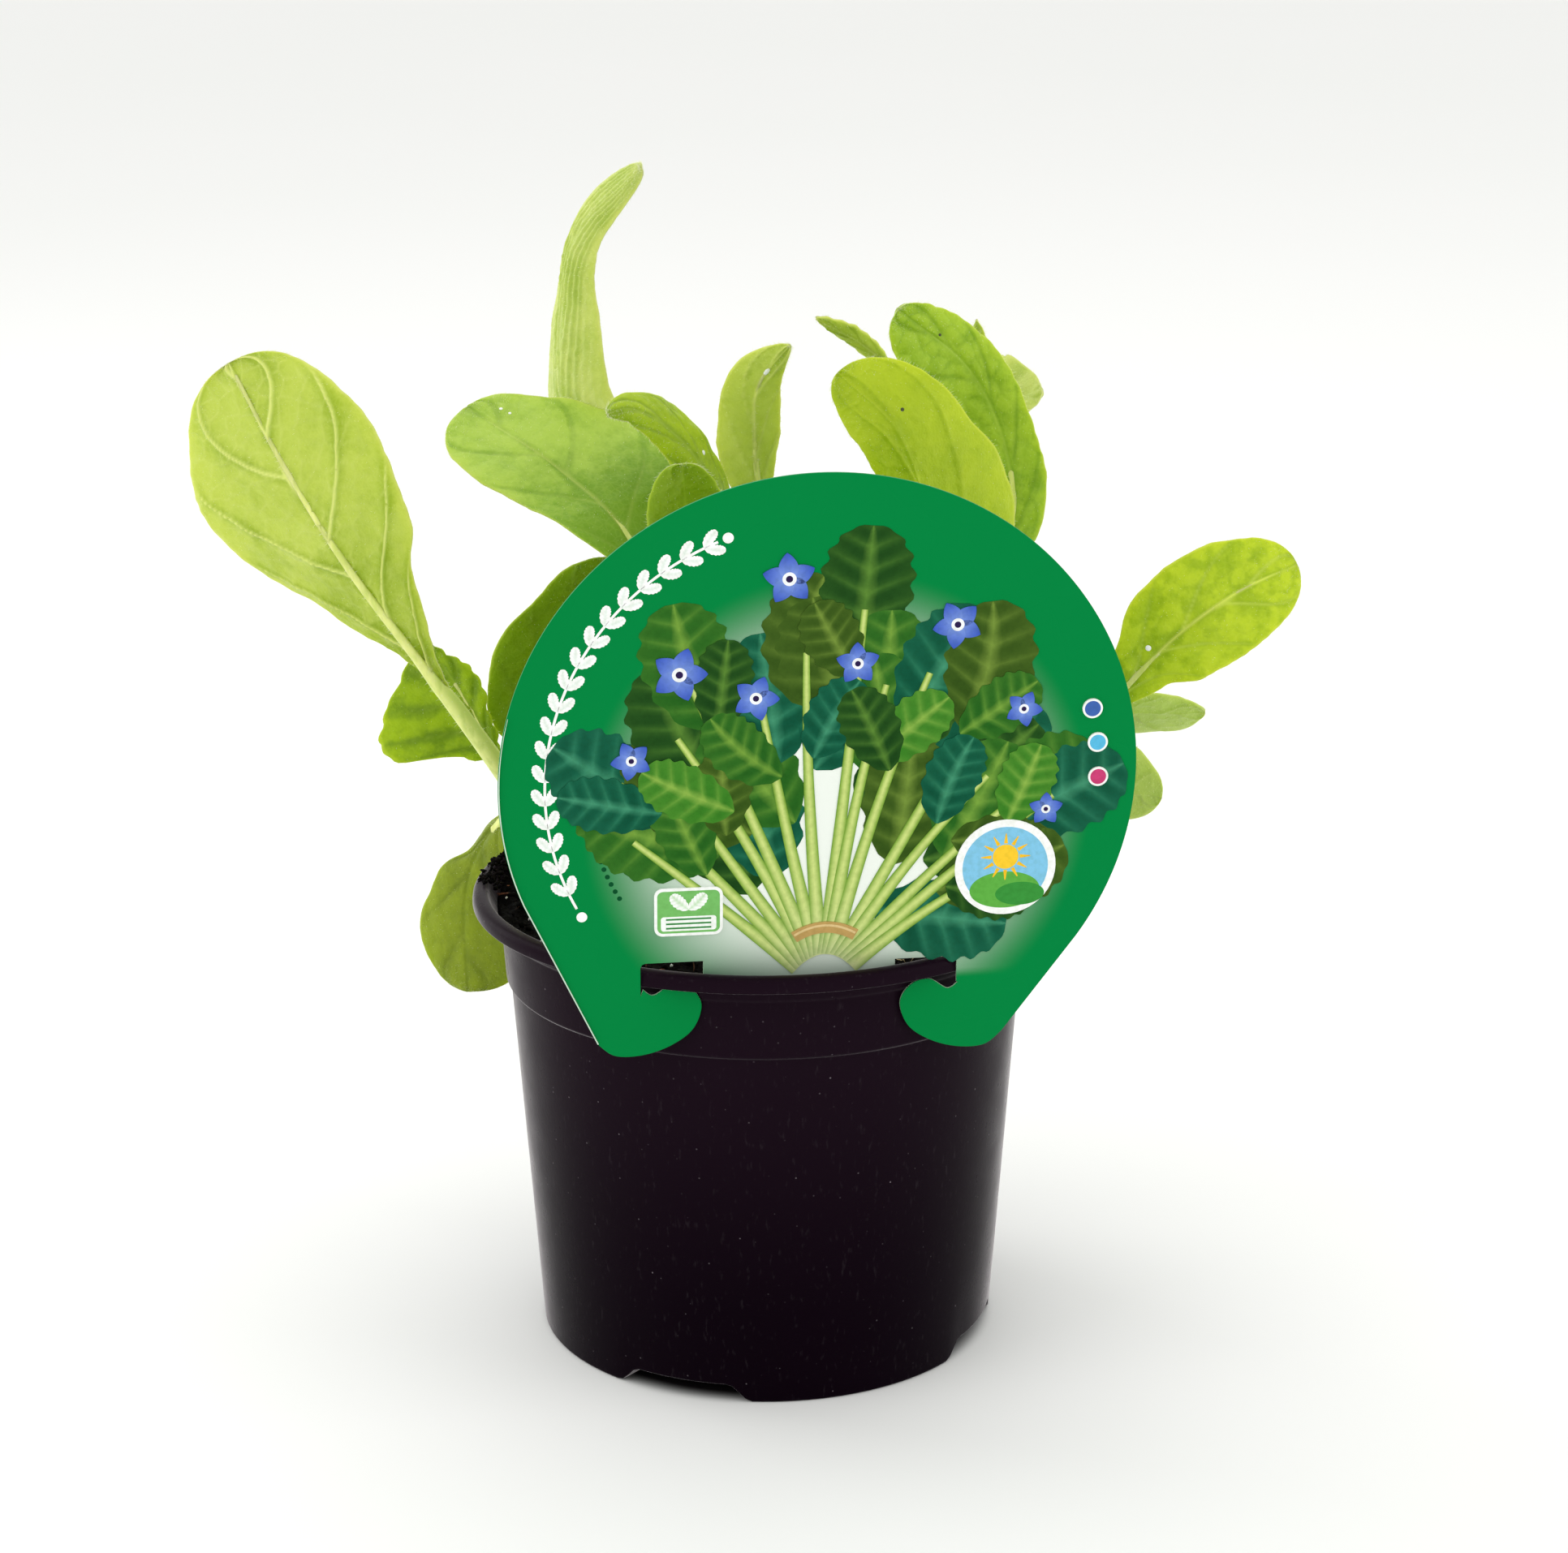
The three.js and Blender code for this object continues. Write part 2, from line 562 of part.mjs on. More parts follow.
// A closed tube along a curve from its start to a share of its length, with a tapering radius.
function tube(curve, end, radiusAt, sides, steps) {
  const positions = [];
  const index = [];
  const helper = new THREE.Vector3(0, 1, 0);
  for (let step = 0; step <= steps; step += 1) {
    const share = (end * step) / steps;
    const centre = curve.getPointAt(share);
    const along = curve.getTangentAt(share);
    const x = along.clone().cross(helper).normalize();
    const y = along.clone().cross(x).normalize();
    for (let k = 0; k < sides; k += 1) {
      const angle = (2 * Math.PI * k) / sides;
      const radius = radiusAt(step / steps);
      const point = centre.clone()
        .addScaledVector(x, radius * Math.cos(angle))
        .addScaledVector(y, radius * Math.sin(angle));
      positions.push(...point.toArray());
      if (step < steps) {
        const a = step * sides + k;
        const b = step * sides + ((k + 1) % sides);
        index.push(a, b, b + sides, a, b + sides, a + sides);
      }
    }
  }
  for (let k = 1; k < sides - 1; k += 1) {
    const last = steps * sides;
    index.push(0, k + 1, k, last, last + k, last + k + 1);
  }
  const geometry = new THREE.BufferGeometry();
  geometry.setAttribute("position", new THREE.Float32BufferAttribute(positions, 3));
  geometry.setIndex(index);
  return solid(geometry);
}

function seedling({ foot, top, radius, leaves }) {
  const points = [[...foot, STEM.rootHeight], [...foot, 72], [...foot, STEM.soilTop], top];
  let body = tube(curveOf(points), 1, (share) => radius * mix(1, 0.9, share), STEM.sides, 8);
  for (const shape of leaves) {
    const leaf = { ...shape, curve: curveOf(shape.path) };
    const stalk = (share) => mix(leaf.stalk[0], leaf.stalk[1], share);
    body = body.add(tube(leaf.curve, leaf.base + 0.04, stalk, STEM.stalkSides, 6));
    body = body.add(blade(leaf));
  }
  return geometryOf(body);
}

// Model

function mesh(name, geometry, finish) {
  const piece = new THREE.Mesh(geometry, new THREE.MeshStandardMaterial(finish));
  piece.name = name;
  return piece;
}

const plant = new THREE.Group();
plant.add(mesh("pot", pot(), MATERIALS.pot));
plant.add(mesh("soil", soil(), MATERIALS.soil));
const place = labelPlace();
place.add(mesh("label", label(), MATERIALS.label));
plant.add(place);
for (const [name, parts] of Object.entries(SEEDLINGS)) {
  plant.add(mesh(name, seedling(parts), MATERIALS.leaf));
}

export default plant;
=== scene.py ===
"""A pot of young borage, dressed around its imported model.

Lengths in the tables are millimetres, and MM turns them into Blender's metres.
Each leaf is one surface over two parameters: s runs from its base to its tip, and u from its
right edge (-1) to its left edge (1).
"""

import math

import bpy
import numpy as np
from mathutils import Matrix, Vector


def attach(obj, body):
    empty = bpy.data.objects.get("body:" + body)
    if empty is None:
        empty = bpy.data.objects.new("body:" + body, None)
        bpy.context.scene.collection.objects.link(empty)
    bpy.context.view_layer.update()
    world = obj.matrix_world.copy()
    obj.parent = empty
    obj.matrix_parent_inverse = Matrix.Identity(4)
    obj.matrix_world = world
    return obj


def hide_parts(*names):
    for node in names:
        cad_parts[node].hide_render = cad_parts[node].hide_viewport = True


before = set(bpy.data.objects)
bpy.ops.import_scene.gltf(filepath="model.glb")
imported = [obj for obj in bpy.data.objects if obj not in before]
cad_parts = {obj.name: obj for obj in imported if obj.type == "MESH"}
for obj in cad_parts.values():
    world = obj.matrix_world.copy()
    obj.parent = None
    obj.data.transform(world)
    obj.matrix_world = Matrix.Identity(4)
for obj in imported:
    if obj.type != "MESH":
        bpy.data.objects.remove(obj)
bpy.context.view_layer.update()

MM = 0.001

# Camera and studio

CAMERA_TARGET = (3.57, 0.0, 102.78)
CAMERA_DISTANCE = 650.0
CAMERA_ELEVATION = 16.67
CAMERA_ROLL = -0.2
SENSOR_WIDTH = 36.0
FOCAL_LENGTH = 83.4
CLIP_START = 0.01
SKY_COLOUR = (1.0, 1.0, 0.985, 1)
SKY_STRENGTH = 0.93
# Place and target in metres, width and height, and power in watts
SOFTBOXES = {
    "softbox_left": ((-1.1, -0.5, 0.7), (0, 0, 0.1), (0.9, 1.2), 2.9),
    "softbox_right": ((1.1, -0.3, 0.6), (0, 0, 0.1), (0.7, 1.2), 1.9),
    "softbox_rim": ((-0.8, 0.45, 0.45), (0, 0, 0.08), (0.5, 0.8), 2.2),
    "softbox_top": ((0.1, 0.4, 1.3), (0, 0, 0.1), (1.2, 1.2), 2.4),
}
FLOOR_RADIUS = 6.0
FLOOR_SIDES = 96
# The under tint is a shadow painted dark on the floor right under the pot's foot.
FLOOR_TINTS = {"plain": (250, 250, 249), "patch": (248, 249, 247), "under": (24, 18, 22)}
FLOOR_SHADOW_REACH = (37.0, 42.5)  # radius from which to which the shadow painted on the floor under the pot fades

# Leaves: routes and widths close to the solids', with what the fine surface adds. left_toothed
# stands more upright than its solid and is wider, and slim_back has no solid.
#   path         points from the stem to the blade's tip, and base, the share of it below the blade
#   width        greatest width, widest where it lies along the blade, and tip, how blunt the tip is
#   skew         share by which the left half is wider than plain and the right half narrower
#   left, right  factors on each half's width at the shares TRIM_AT of the blade
#   face         way that the upper side faces at the base, and face_tip at the tip
#   cup          fold of the halves in radians, at the base and at the tip
#   quilt        height of the swell between side veins, and pucker that of the small bulges
#   ruffle       height of the edge's wave, teeth its coarse teeth, and notch its fine teeth
#   stalk        radius of the stalk at the stem and at the blade
#   veins        side veins on each half, arch and loop their sweep, valley the hollow round them
#   rib          strength of the midrib's tint, veining the side veins', and painted_shade that of
#                the shade painted in the hollows by the midrib, the veins and the net
#   base_shade   strength of the shade painted as the deeper tint towards the blade's base
#   marks        specks: kind, face, shares along and across, radius, length over width

LEAF_DEFAULTS = {
    "widest": 0.5, "skew": 0, "left": (1, 1, 1, 1, 1), "right": (1, 1, 1, 1, 1), "ruffle": 0,
    "rib": 0.6, "veining": 0.3, "veins": 3.5, "arch": 0.3, "loop": 0, "valley": 1.4,
    "painted_shade": 0.7, "base_shade": 0.25, "teeth": 0, "notch": 0.06, "marks": (),
}
TRIM_AT = (0.1, 0.3, 0.5, 0.7, 0.9)
TRIM_REACH = 0.11
BLADE_THICKNESS = 0.5
EDGE_THICKNESS = 0.22
VEIN_LEAN = 0.11
VEIN_DEPTH = 0.28
NET_DEPTH = 0.12
NET_SIZE = 3.4
FINE_TOOTH = 2.9
CELL = 0.49  # size of a mesh cell on a blade
BLADE_ROWS_LEAST = 24
BLADE_COLUMNS_LEAST = 15
STALK_SIDES = 16
STALK_ROWS = (36, 110)
STEM_SIDES = 28
STEM_ROWS = 60
HAIR_RADIUS = 0.035
HAIR_SINK = 0.05  # depth of a bristle's root in the leaf
SPECK_RINGS = 6
SPECK_SIDES = 10

SEEDLINGS = {
    "seedling_left": {
        "foot": (-42.5, 5), "top": (-42.5, 3, 92), "radius": 2.1,
        "leaves": ("left_large", "left_toothed", "left_shaded", "left_hanging"),
    },
    "seedling_middle_left": {
        "foot": (-12, 2), "top": (-12.5, 1, 108), "radius": 2.4,
        "leaves": ("tall", "broad", "arched", "small_shaded"),
    },
    "seedling_middle_right": {
        "foot": (11, 3), "top": (11.5, 3, 106), "radius": 2.4,
        "leaves": ("upright", "narrow", "front_large", "crinkled", "small_back", "slim_back"),
    },
    "seedling_right": {
        "foot": (31, 3), "top": (31.5, 2, 92), "radius": 2.1,
        "leaves": ("right_large", "right_level", "right_low"),
    },
    "seedling_back": {
        "foot": (1, 27), "top": (1, 28, 98), "radius": 2.1,
        "leaves": ("back_right", "back_left", "back_toothed", "back_young"),
    },
}
LEAVES = {
    "left_large": {
        "path": [(-42.5, 3, 88), (-43, -4, 99), (-46.5, -13, 109), (-56.5, -21, 127),
                 (-69.7, -25.5, 147.5), (-80, -27, 166), (-88.6, -23, 182)],
        "base": 0.38, "width": 36, "widest": 0.66, "tip": 0.44, "skew": 0.1,
        "left": (0.42, 0.84, 1.1, 1.12, 1.05), "right": (0.5, 0.66, 1.02, 1.09, 1.03),
        "face": (0.35, 0.75, 0.55), "face_tip": (0.2, 0.95, 0.2), "cup": (0.25, 0.1), "quilt": 0.8,
        "ruffle": 0.3, "stalk": (1.9, 1.3), "rib": 1, "veining": 0.9, "veins": 3.6, "loop": 0.16,
        "valley": 1.5, "pucker": 0.3, "painted_shade": 0.65, "base_shade": 0.6, "tint": "lime",
    },
    "left_toothed": {
        "path": [(-42.5, 3, 89), (-45, 7, 95), (-47.5, 9, 101), (-53, 9, 113), (-60.5, 9, 125.5)],
        "base": 0.42, "width": 22, "tip": 0.5, "left": (0.3, 0.24, 0.38, 0.4, 0.2),
        "right": (0.8, 1.62, 1.6, 1.4, 0.98), "face": (-0.1, -0.85, 0.45),
        "face_tip": (-0.4, -0.7, 0.5), "cup": (0.1, 0), "quilt": 0.35, "ruffle": 0.1,
        "stalk": (1.4, 0.9), "rib": 0.4, "veins": 4, "pucker": 0.25, "notch": 0.6, "tint": "meadow",
    },
    "left_shaded": {
        "path": [(-42.5, 3, 89), (-43.5, 9, 98), (-44, 13, 108.5), (-40, 12, 124), (-27, 8, 141)],
        "base": 0.32, "width": 21.5, "tip": 0.45, "left": (0.9, 0.8, 0.78, 0.72, 0.8),
        "face": (-0.3, 0.8, 0.5), "face_tip": (-0.4, 0.7, 0.5), "cup": (0.1, 0.1), "quilt": 0.15,
        "ruffle": 0.4, "stalk": (1.5, 1.0), "rib": 0.2, "veining": 0, "painted_shade": 0.15,
        "pucker": 0.06, "tint": "shade",
    },
    "left_hanging": {
        "path": [(-42.5, 3, 86), (-43.5, 15, 88), (-48, 26, 87.5), (-54, 31, 79.5), (-57, 32, 68.5),
                 (-56.5, 29, 51.5)],
        "base": 0.38, "width": 24, "widest": 0.6, "tip": 0.4, "left": (0.3, 0.2, 0.68, 0.97, 0.88),
        "right": (0.6, 0.7, 1, 1, 1.2), "face": (-0.35, -0.75, 0.7), "face_tip": (-0.4, -0.9, 0.1),
        "cup": (-0.2, -0.2), "quilt": 0.2, "ruffle": 0.3, "stalk": (1.4, 1.0), "rib": 0.2,
        "veining": 0, "arch": 0.35, "painted_shade": 0.4, "pucker": 0.12, "tint": "moss",
    },
    "tall": {
        "path": [(-12.5, 1, 104), (-16, 7, 120), (-23, 15, 138), (-31.4, 18, 152),
                 (-35.6, 18, 169.5), (-34.9, 16, 184.5), (-31.9, 13, 197.8), (-20.4, 5, 210.5)],
        "base": 0.32, "width": 26, "widest": 0.3, "tip": 0.45, "left": (1.3, 1.4, 0.88, 0.63, 0.9),
        "right": (1.1, 1.15, 0.88, 0.63, 0.5), "face": (0.87, 0.5, 0), "face_tip": (0.8, 0.5, -0.3),
        "cup": (0.3, 0.3), "quilt": 0.15, "stalk": (1.5, 1.1), "rib": 0.2, "veins": 4.5,
        "arch": 1.5, "valley": 0.8, "pucker": 0.08, "tint": "pale",
    },
    "broad": {
        "path": [(-12.5, 1, 104), (-15, -7, 124), (-22.5, -12, 148.5), (-35.5, -3, 159.5),
                 (-52, 8, 168.4)],
        "base": 0.48, "width": 31, "widest": 0.55, "tip": 0.38, "skew": 0.08,
        "left": (1.4, 1.3, 1.15, 0.94, 0.75), "right": (0.7, 0.76, 0.82, 0.95, 1),
        "face": (0.21, -0.575, 0.793), "cup": (0.1, 0), "quilt": 0.35, "ruffle": 0.15,
        "stalk": (1.7, 1.0), "rib": 0.45, "veins": 3, "loop": 0.1, "valley": 0.55, "painted_shade": 0.6,
        "pucker": 0.16, "base_shade": 1.2, "tint": "fresh",
        "marks": [("white", "upper", 0.7, 0.42, 0.35), ("white", "upper", 0.64, 0.39, 0.3)],
    },
    "arched": {
        "path": [(-12.5, 1, 104), (-6, 4, 124), (-7, -4, 151), (-10.7, -8, 161.4),
                 (-16.5, -12, 169), (-22, -14.8, 172.4), (-26.1, -16.5, 172)],
        "base": 0.5, "width": 18, "tip": 0.5, "left": (0.8, 0.82, 0.84, 0.84, 0.75),
        "right": (0.8, 0.74, 0.56, 0.48, 0.5), "face": (0.5, -0.5, 0.7),
        "face_tip": (-0.1, -0.7, 0.7), "cup": (-0.3, -0.3), "quilt": 0.15, "ruffle": 0.1,
        "stalk": (1.3, 0.9), "rib": 0.3, "arch": 0.5, "valley": 0.5, "pucker": 0.2, "notch": 0.1,
        "tint": "glossy", "marks": [("white", "upper", 0.3, 0.38, 0.5)],
    },
    "small_shaded": {
        "path": [(-12.5, 1, 103), (-9, -10, 122), (-11, -20, 146), (-12.6, -24.5, 156.5),
                 (-13.2, -25, 165)],
        "base": 0.58, "width": 15, "tip": 0.42, "face": (0, 0.9, 0.3), "cup": (0.2, 0.2),
        "quilt": 0.08, "ruffle": 0.1, "stalk": (1.4, 0.9), "rib": 0.2, "veining": 0, "veins": 3,
        "painted_shade": 0.1, "pucker": 0.05, "tint": "olive",
    },
    "upright": {
        "path": [(11.5, 3, 102), (5, 9, 124), (-0.3, 8, 151), (-1.3, 4, 164.5), (-0.5, 1.5, 173.5),
                 (4.9, -1.5, 180.9)],
        "base": 0.58, "width": 12.5, "tip": 0.7, "left": (1.3, 1.25, 1.12, 1.1, 0.95),
        "right": (0.6, 0.65, 0.72, 0.75, 0.6), "face": (0, 0.95, 0.2), "face_tip": (0.3, 0.9, 0.1),
        "cup": (0.2, 0.3), "quilt": 0.2, "stalk": (1.3, 0.8), "rib": 0.9, "veining": 0.4,
        "veins": 3, "arch": 0.6, "valley": 1.0, "painted_shade": 0.15, "pucker": 0.08, "base_shade": 0.05,
        "tint": "lime", "marks": [("white", "lower", 0.61, 0, 0.42, 2.2)],
    },
    "narrow": {
        "path": [(11.5, 3, 102), (24, 19, 127), (28, 24, 162.5), (20.3, 20, 175.4),
                 (9.5, 14, 183.1)],
        "base": 0.76, "width": 4.6, "widest": 0.55, "tip": 0.7, "left": (0.6, 0.9, 1.1, 1.1, 1),
        "right": (0.5, 0.6, 0.8, 1, 1), "face": (-0.5, 0.3, 0.8), "cup": (0.3, 0.3), "quilt": 0.1,
        "stalk": (1.0, 0.5), "rib": 0.5, "veins": 4, "arch": 0.35, "pucker": 0.1, "notch": 0.3,
        "tint": "lime",
    },
    "front_large": {
        "path": [(11.5, 3, 101), (24, -8, 117), (31.5, -17, 136.5), (27.8, -24, 157),
                 (22.3, -26, 171), (12.8, -23, 180)],
        "base": 0.42, "width": 30, "tip": 0.45, "skew": -0.3,
        "left": (0.45, 0.45, 0.46, 0.68, 0.85), "right": (1, 0.94, 0.87, 0.7, 0.64),
        "face": (-0.4, 0.8, 0.4), "face_tip": (-0.5, 0.7, 0.3), "cup": (0.3, 0.1), "quilt": 0.12,
        "ruffle": 0.1, "stalk": (1.9, 1.2), "rib": 0.2, "veining": 0, "veins": 1.3, "arch": 1.4,
        "valley": 1.8, "painted_shade": 0.3, "pucker": 0.06, "tint": "warm",
        "marks": [("dark", "lower", 0.57, -0.26, 0.35)],
    },
    "crinkled": {
        "path": [(11.5, 3, 102), (32, 3, 124), (43, 1, 147), (42.6, 2.5, 161), (36.3, 2, 175.5),
                 (23.4, -3.5, 187.4)],
        "base": 0.45, "width": 25, "tip": 0.45, "skew": -0.28, "left": (0.9, 0.76, 0.66, 0.7, 0.8),
        "right": (0.8, 0.85, 0.88, 0.84, 0.7), "face": (-0.3, -0.6, 0.6),
        "face_tip": (-0.3, -0.85, 0.3), "cup": (0.1, 0), "quilt": 0.35, "stalk": (1.6, 1.0),
        "rib": 0.3, "veining": 0.1, "veins": 4.5, "arch": 0.35, "valley": 0.7, "painted_shade": 0.5,
        "pucker": 0.45, "notch": 0.15, "base_shade": 0.1, "tint": "spring",
        "marks": [("dark", "upper", 0.63, 0.17, 0.3)],
    },
    "small_back": {
        "path": [(11.5, 3, 102), (33, 17, 122), (40, 19, 151), (42.3, 18.5, 164.5),
                 (49.5, 15, 170.1)],
        "base": 0.76, "width": 12.5, "tip": 0.42, "left": (1, 1, 1, 1, 0.85),
        "right": (1, 1.3, 1.7, 1.8, 1.25), "face": (-0.3, -0.6, 0.6), "cup": (0.1, 0),
        "quilt": 0.25, "ruffle": 0.2, "stalk": (1.3, 0.8), "rib": 0.5, "veins": 3, "pucker": 0.25,
        "notch": 0.15, "painted_shade": 0.4, "tint": "pale",
        "marks": [("white", "upper", 0.45, -0.93, 0.4)],
    },
    "slim_back": {
        "path": [(11.5, 3, 102), (29, 16, 122), (39, 17, 152), (39.8, 16, 171), (37.8, 15, 182.4)],
        "base": 0.78, "width": 5, "widest": 0.45, "tip": 0.75, "face": (-0.3, -0.6, 0.6),
        "cup": (0.4, 0.3), "quilt": 0.1, "ruffle": 0.1, "stalk": (0.9, 0.5), "rib": 0.5, "veins": 3,
        "pucker": 0.2, "notch": 0.3, "tint": "lime",
    },
    "right_large": {
        "path": [(31.5, 2, 88), (44, -9, 102), (60.5, -16, 121), (70, -20, 132.8), (80, -22, 141.3),
                 (91, -20, 146.3)],
        "base": 0.45, "width": 21.5, "widest": 0.6, "tip": 0.42, "skew": 0.05,
        "left": (0.2, 0.46, 0.8, 0.87, 0.9), "right": (0.4, 0.66, 1, 1.03, 0.94),
        "face": (0.25, -0.8, 0.55), "face_tip": (0.1, -0.95, 0.2), "cup": (0.1, 0), "quilt": 0.3,
        "ruffle": 0.1, "stalk": (1.6, 0.9), "rib": 1, "veining": 0.6, "veins": 3.6, "arch": 0.42,
        "valley": 0.5, "painted_shade": 0.5, "pucker": 0.25, "tint": "sunny",
        "marks": [("white", "upper", 0.25, -0.2, 0.55)],
    },
    "right_level": {
        "path": [(31.5, 2, 89), (47, 12, 103), (62, 18, 109), (73, 20, 108.7), (81, 20, 108.8)],
        "base": 0.5, "width": 17, "tip": 0.56, "left": (1, 0.8, 0.7, 0.78, 0.75),
        "right": (1, 1, 1.05, 1.22, 1.5), "face": (0, 0.7, 0.7), "cup": (0.1, 0.1), "quilt": 0.1,
        "ruffle": 0.15, "stalk": (1.3, 0.9), "rib": 0.2, "veining": 0.1, "arch": 0.35,
        "pucker": 0.06, "painted_shade": 0.15, "tint": "sage",
    },
    "right_low": {
        "path": [(31.5, 2, 87), (44, 6, 95), (57.5, 9, 98), (65.5, 11, 96.5), (72.5, 11, 95.5)],
        "base": 0.5, "width": 18, "tip": 0.5, "left": (1, 1, 1.1, 1.17, 1.05),
        "right": (1, 1, 1, 1, 1.04), "face": (0, 0.9, 0.4), "cup": (0.1, 0.1), "quilt": 0.1,
        "ruffle": 0.15, "stalk": (1.3, 0.9), "rib": 0.2, "veining": 0.1, "pucker": 0.06,
        "painted_shade": 0.15, "tint": "sage",
    },
    "back_right": {
        "path": [(1, 28, 94), (10, 33, 108), (22, 39, 119), (33, 44, 125), (42, 46, 127)],
        "base": 0.38, "width": 22, "widest": 0.62, "tip": 0.45, "face": (-0.3, -0.35, 0.9),
        "face_tip": (0, -0.2, 0.95), "cup": (0.2, 0.1), "quilt": 0.4, "ruffle": 0.5,
        "stalk": (1.5, 1.0), "arch": 0.32, "pucker": 0.14, "tint": "fresh",
    },
    "back_left": {
        "path": [(1, 28, 94), (-8, 34, 105), (-18, 42, 114), (-28, 49, 117), (-36, 54, 114)],
        "base": 0.38, "width": 21, "widest": 0.62, "tip": 0.45, "face": (0.3, -0.3, 0.9),
        "face_tip": (-0.2, 0.1, 0.95), "cup": (0.2, 0.1), "quilt": 0.4, "ruffle": 0.5,
        "stalk": (1.5, 1.0), "arch": 0.32, "pucker": 0.14, "tint": "fresh",
    },
    "back_toothed": {
        "path": [(1, 28, 95), (2, 32, 110), (5, 40, 123), (8, 50, 131), (9, 60, 130)],
        "base": 0.4, "width": 19, "tip": 0.5, "face": (0, -0.5, 0.8), "face_tip": (0, 0.2, 0.95),
        "cup": (0.2, 0.1), "quilt": 0.6, "ruffle": 0.6, "teeth": 0.08, "stalk": (1.3, 0.8),
        "veins": 4.5, "arch": 0.25, "pucker": 0.35, "notch": 0.3, "tint": "grass",
    },
    "back_young": {
        "path": [(1, 28, 95), (-4, 27, 110), (-8, 28, 123), (-11, 31, 133), (-13, 36, 139)],
        "base": 0.5, "width": 13, "tip": 0.5, "face": (0.4, -0.6, 0.6),
        "face_tip": (0.3, -0.5, 0.8), "cup": (0.3, 0.2), "quilt": 0.5, "ruffle": 0.4, "teeth": 0.08,
        "stalk": (1.1, 0.7), "veins": 4, "arch": 0.25, "pucker": 0.3, "notch": 0.25,
        "tint": "grass",
    },
}

# Leaf tints as sRGB bytes: of the plain blade, of its darker mottles and of the shade painted
# in its hollows and towards its base, and of its raised net.
TINTS = {
    "lime": ((184, 199, 82), (142, 165, 26), (218, 226, 132)),
    "pale": ((192, 203, 110), (158, 179, 64), (210, 219, 140)),
    "fresh": ((172, 198, 80), (120, 158, 32), (206, 221, 112)),
    "grass": ((160, 188, 30), (112, 152, 6), (190, 212, 86)),
    "spring": ((167, 194, 54), (126, 162, 24), (200, 218, 104)),
    "meadow": ((154, 180, 2), (106, 138, 0), (178, 199, 60)),
    "olive": ((126, 154, 0), (118, 146, 0), (178, 200, 64)),
    "glossy": ((160, 184, 14), (122, 150, 4), (190, 206, 90)),
    "warm": ((178, 196, 30), (148, 172, 8), (196, 210, 80)),
    "sunny": ((186, 205, 36), (144, 171, 6), (214, 226, 96)),
    "sage": ((176, 197, 94), (156, 179, 72), (190, 208, 112)),
    "moss": ((131, 148, 6), (102, 120, 0), (152, 170, 52)),
    "shade": ((118, 147, 6), (106, 134, 2), (172, 192, 80)),
}
# Strength of the mottles on a blade, by its tint
MOTTLED = {"sunny": 0.34, "lime": 0.1, "glossy": 0.2, "grass": 0.2, "spring": 0.2, "meadow": 0.2}
PLAIN_MOTTLES = 0.13
STALK_TINT = (228, 235, 140)
STALK_SIDE_TINT = (176, 198, 66)
HAIR_TINT = (236, 240, 214)
SPECK_TINTS = {"white": (250, 250, 246), "dark": (58, 66, 20)}

# Heights along a stem: its foot in the soil, where it stays straight, and where it may bend
STEM_FOOT = 65.0
STEM_STRAIGHT = 72.0
STEM_BEND = 83.0
SOIL_TOP = 81.0

# Pot: radius and height of each corner of its turned section, and how far it is rounded. It
# runs from the middle of the base out, up the outside, over the lip and down the inside.
POT_SECTION = [
    (0, 0, 0), (9, 0, 0.2), (9.6, 1.2, 0.2), (26, 1.2, 0.2), (26.6, 0, 0.2), (41.3, 0, 0.5),
    (46.05, 66.3, 0.15), (46.85, 66.9, 0.3), (47.6, 77.2, 0.2), (48.1, 77.8, 0.3),
    (48.6, 79.6, 1.5), (49.9, 80.9, 1.2), (50.2, 81.7, 0.2),
    (51.4, 81.7, 0.2), (51.5, 80.4, 0.25), (52.6, 80.4, 0.45), (52.55, 83.1, 1.7),
    (50, 83.1, 0.4), (49.5, 81.8, 0.5), (46.6, 76, 2.5), (45.85, 66.9, 0.3), (45.05, 66.1, 0.3),
    (40.4, 1.2, 1.5), (27, 1.2, 0.2), (26, 2.4, 0.2), (0, 2.4, 0),
]
POT_HEIGHT = 83.0
NOTCHES = (-21.5, 70, 160, 250)  # degrees from the front towards +X
NOTCH_HALF_ANGLE = 12.0
NOTCH_RAMP = 6.0
NOTCH_HEIGHT = 3.1
NOTCH_INNER_RADIUS = 29.0
NOTCH_LIP = 1.2  # width of the slope at the notch's inner end
NOTCH_REACH = 14.0  # height up the wall at which a notch's lift has died out
DRAIN_RADIUS = 3.0
DRAIN_DISTANCE = 34.5
DRAIN_SIDES = 40
DRILL = (1.0, 9.0)  # height from which to which the holes are drilled
POT_SIDES = 216
POT_CREASE = 50.0  # angle in degrees from which an edge of the pot is sharp
WALL_STEP = 3.4  # longest stretch of the section between two points
GUARD = 0.2  # distance of the guard points from the ends of a stretch
# high is light painted into the pot's tint, which turns paler up the wall towards the lip
POT_TINTS = {"low": (6, 0, 6), "low_patch": (11, 0, 10), "high": (24, 11, 22),
             "dust": (150, 142, 148)}
PAINTED_LIGHT_HEIGHTS = (10.0, 75.0)  # height from which to which light is painted into the pot's tint, from low to high

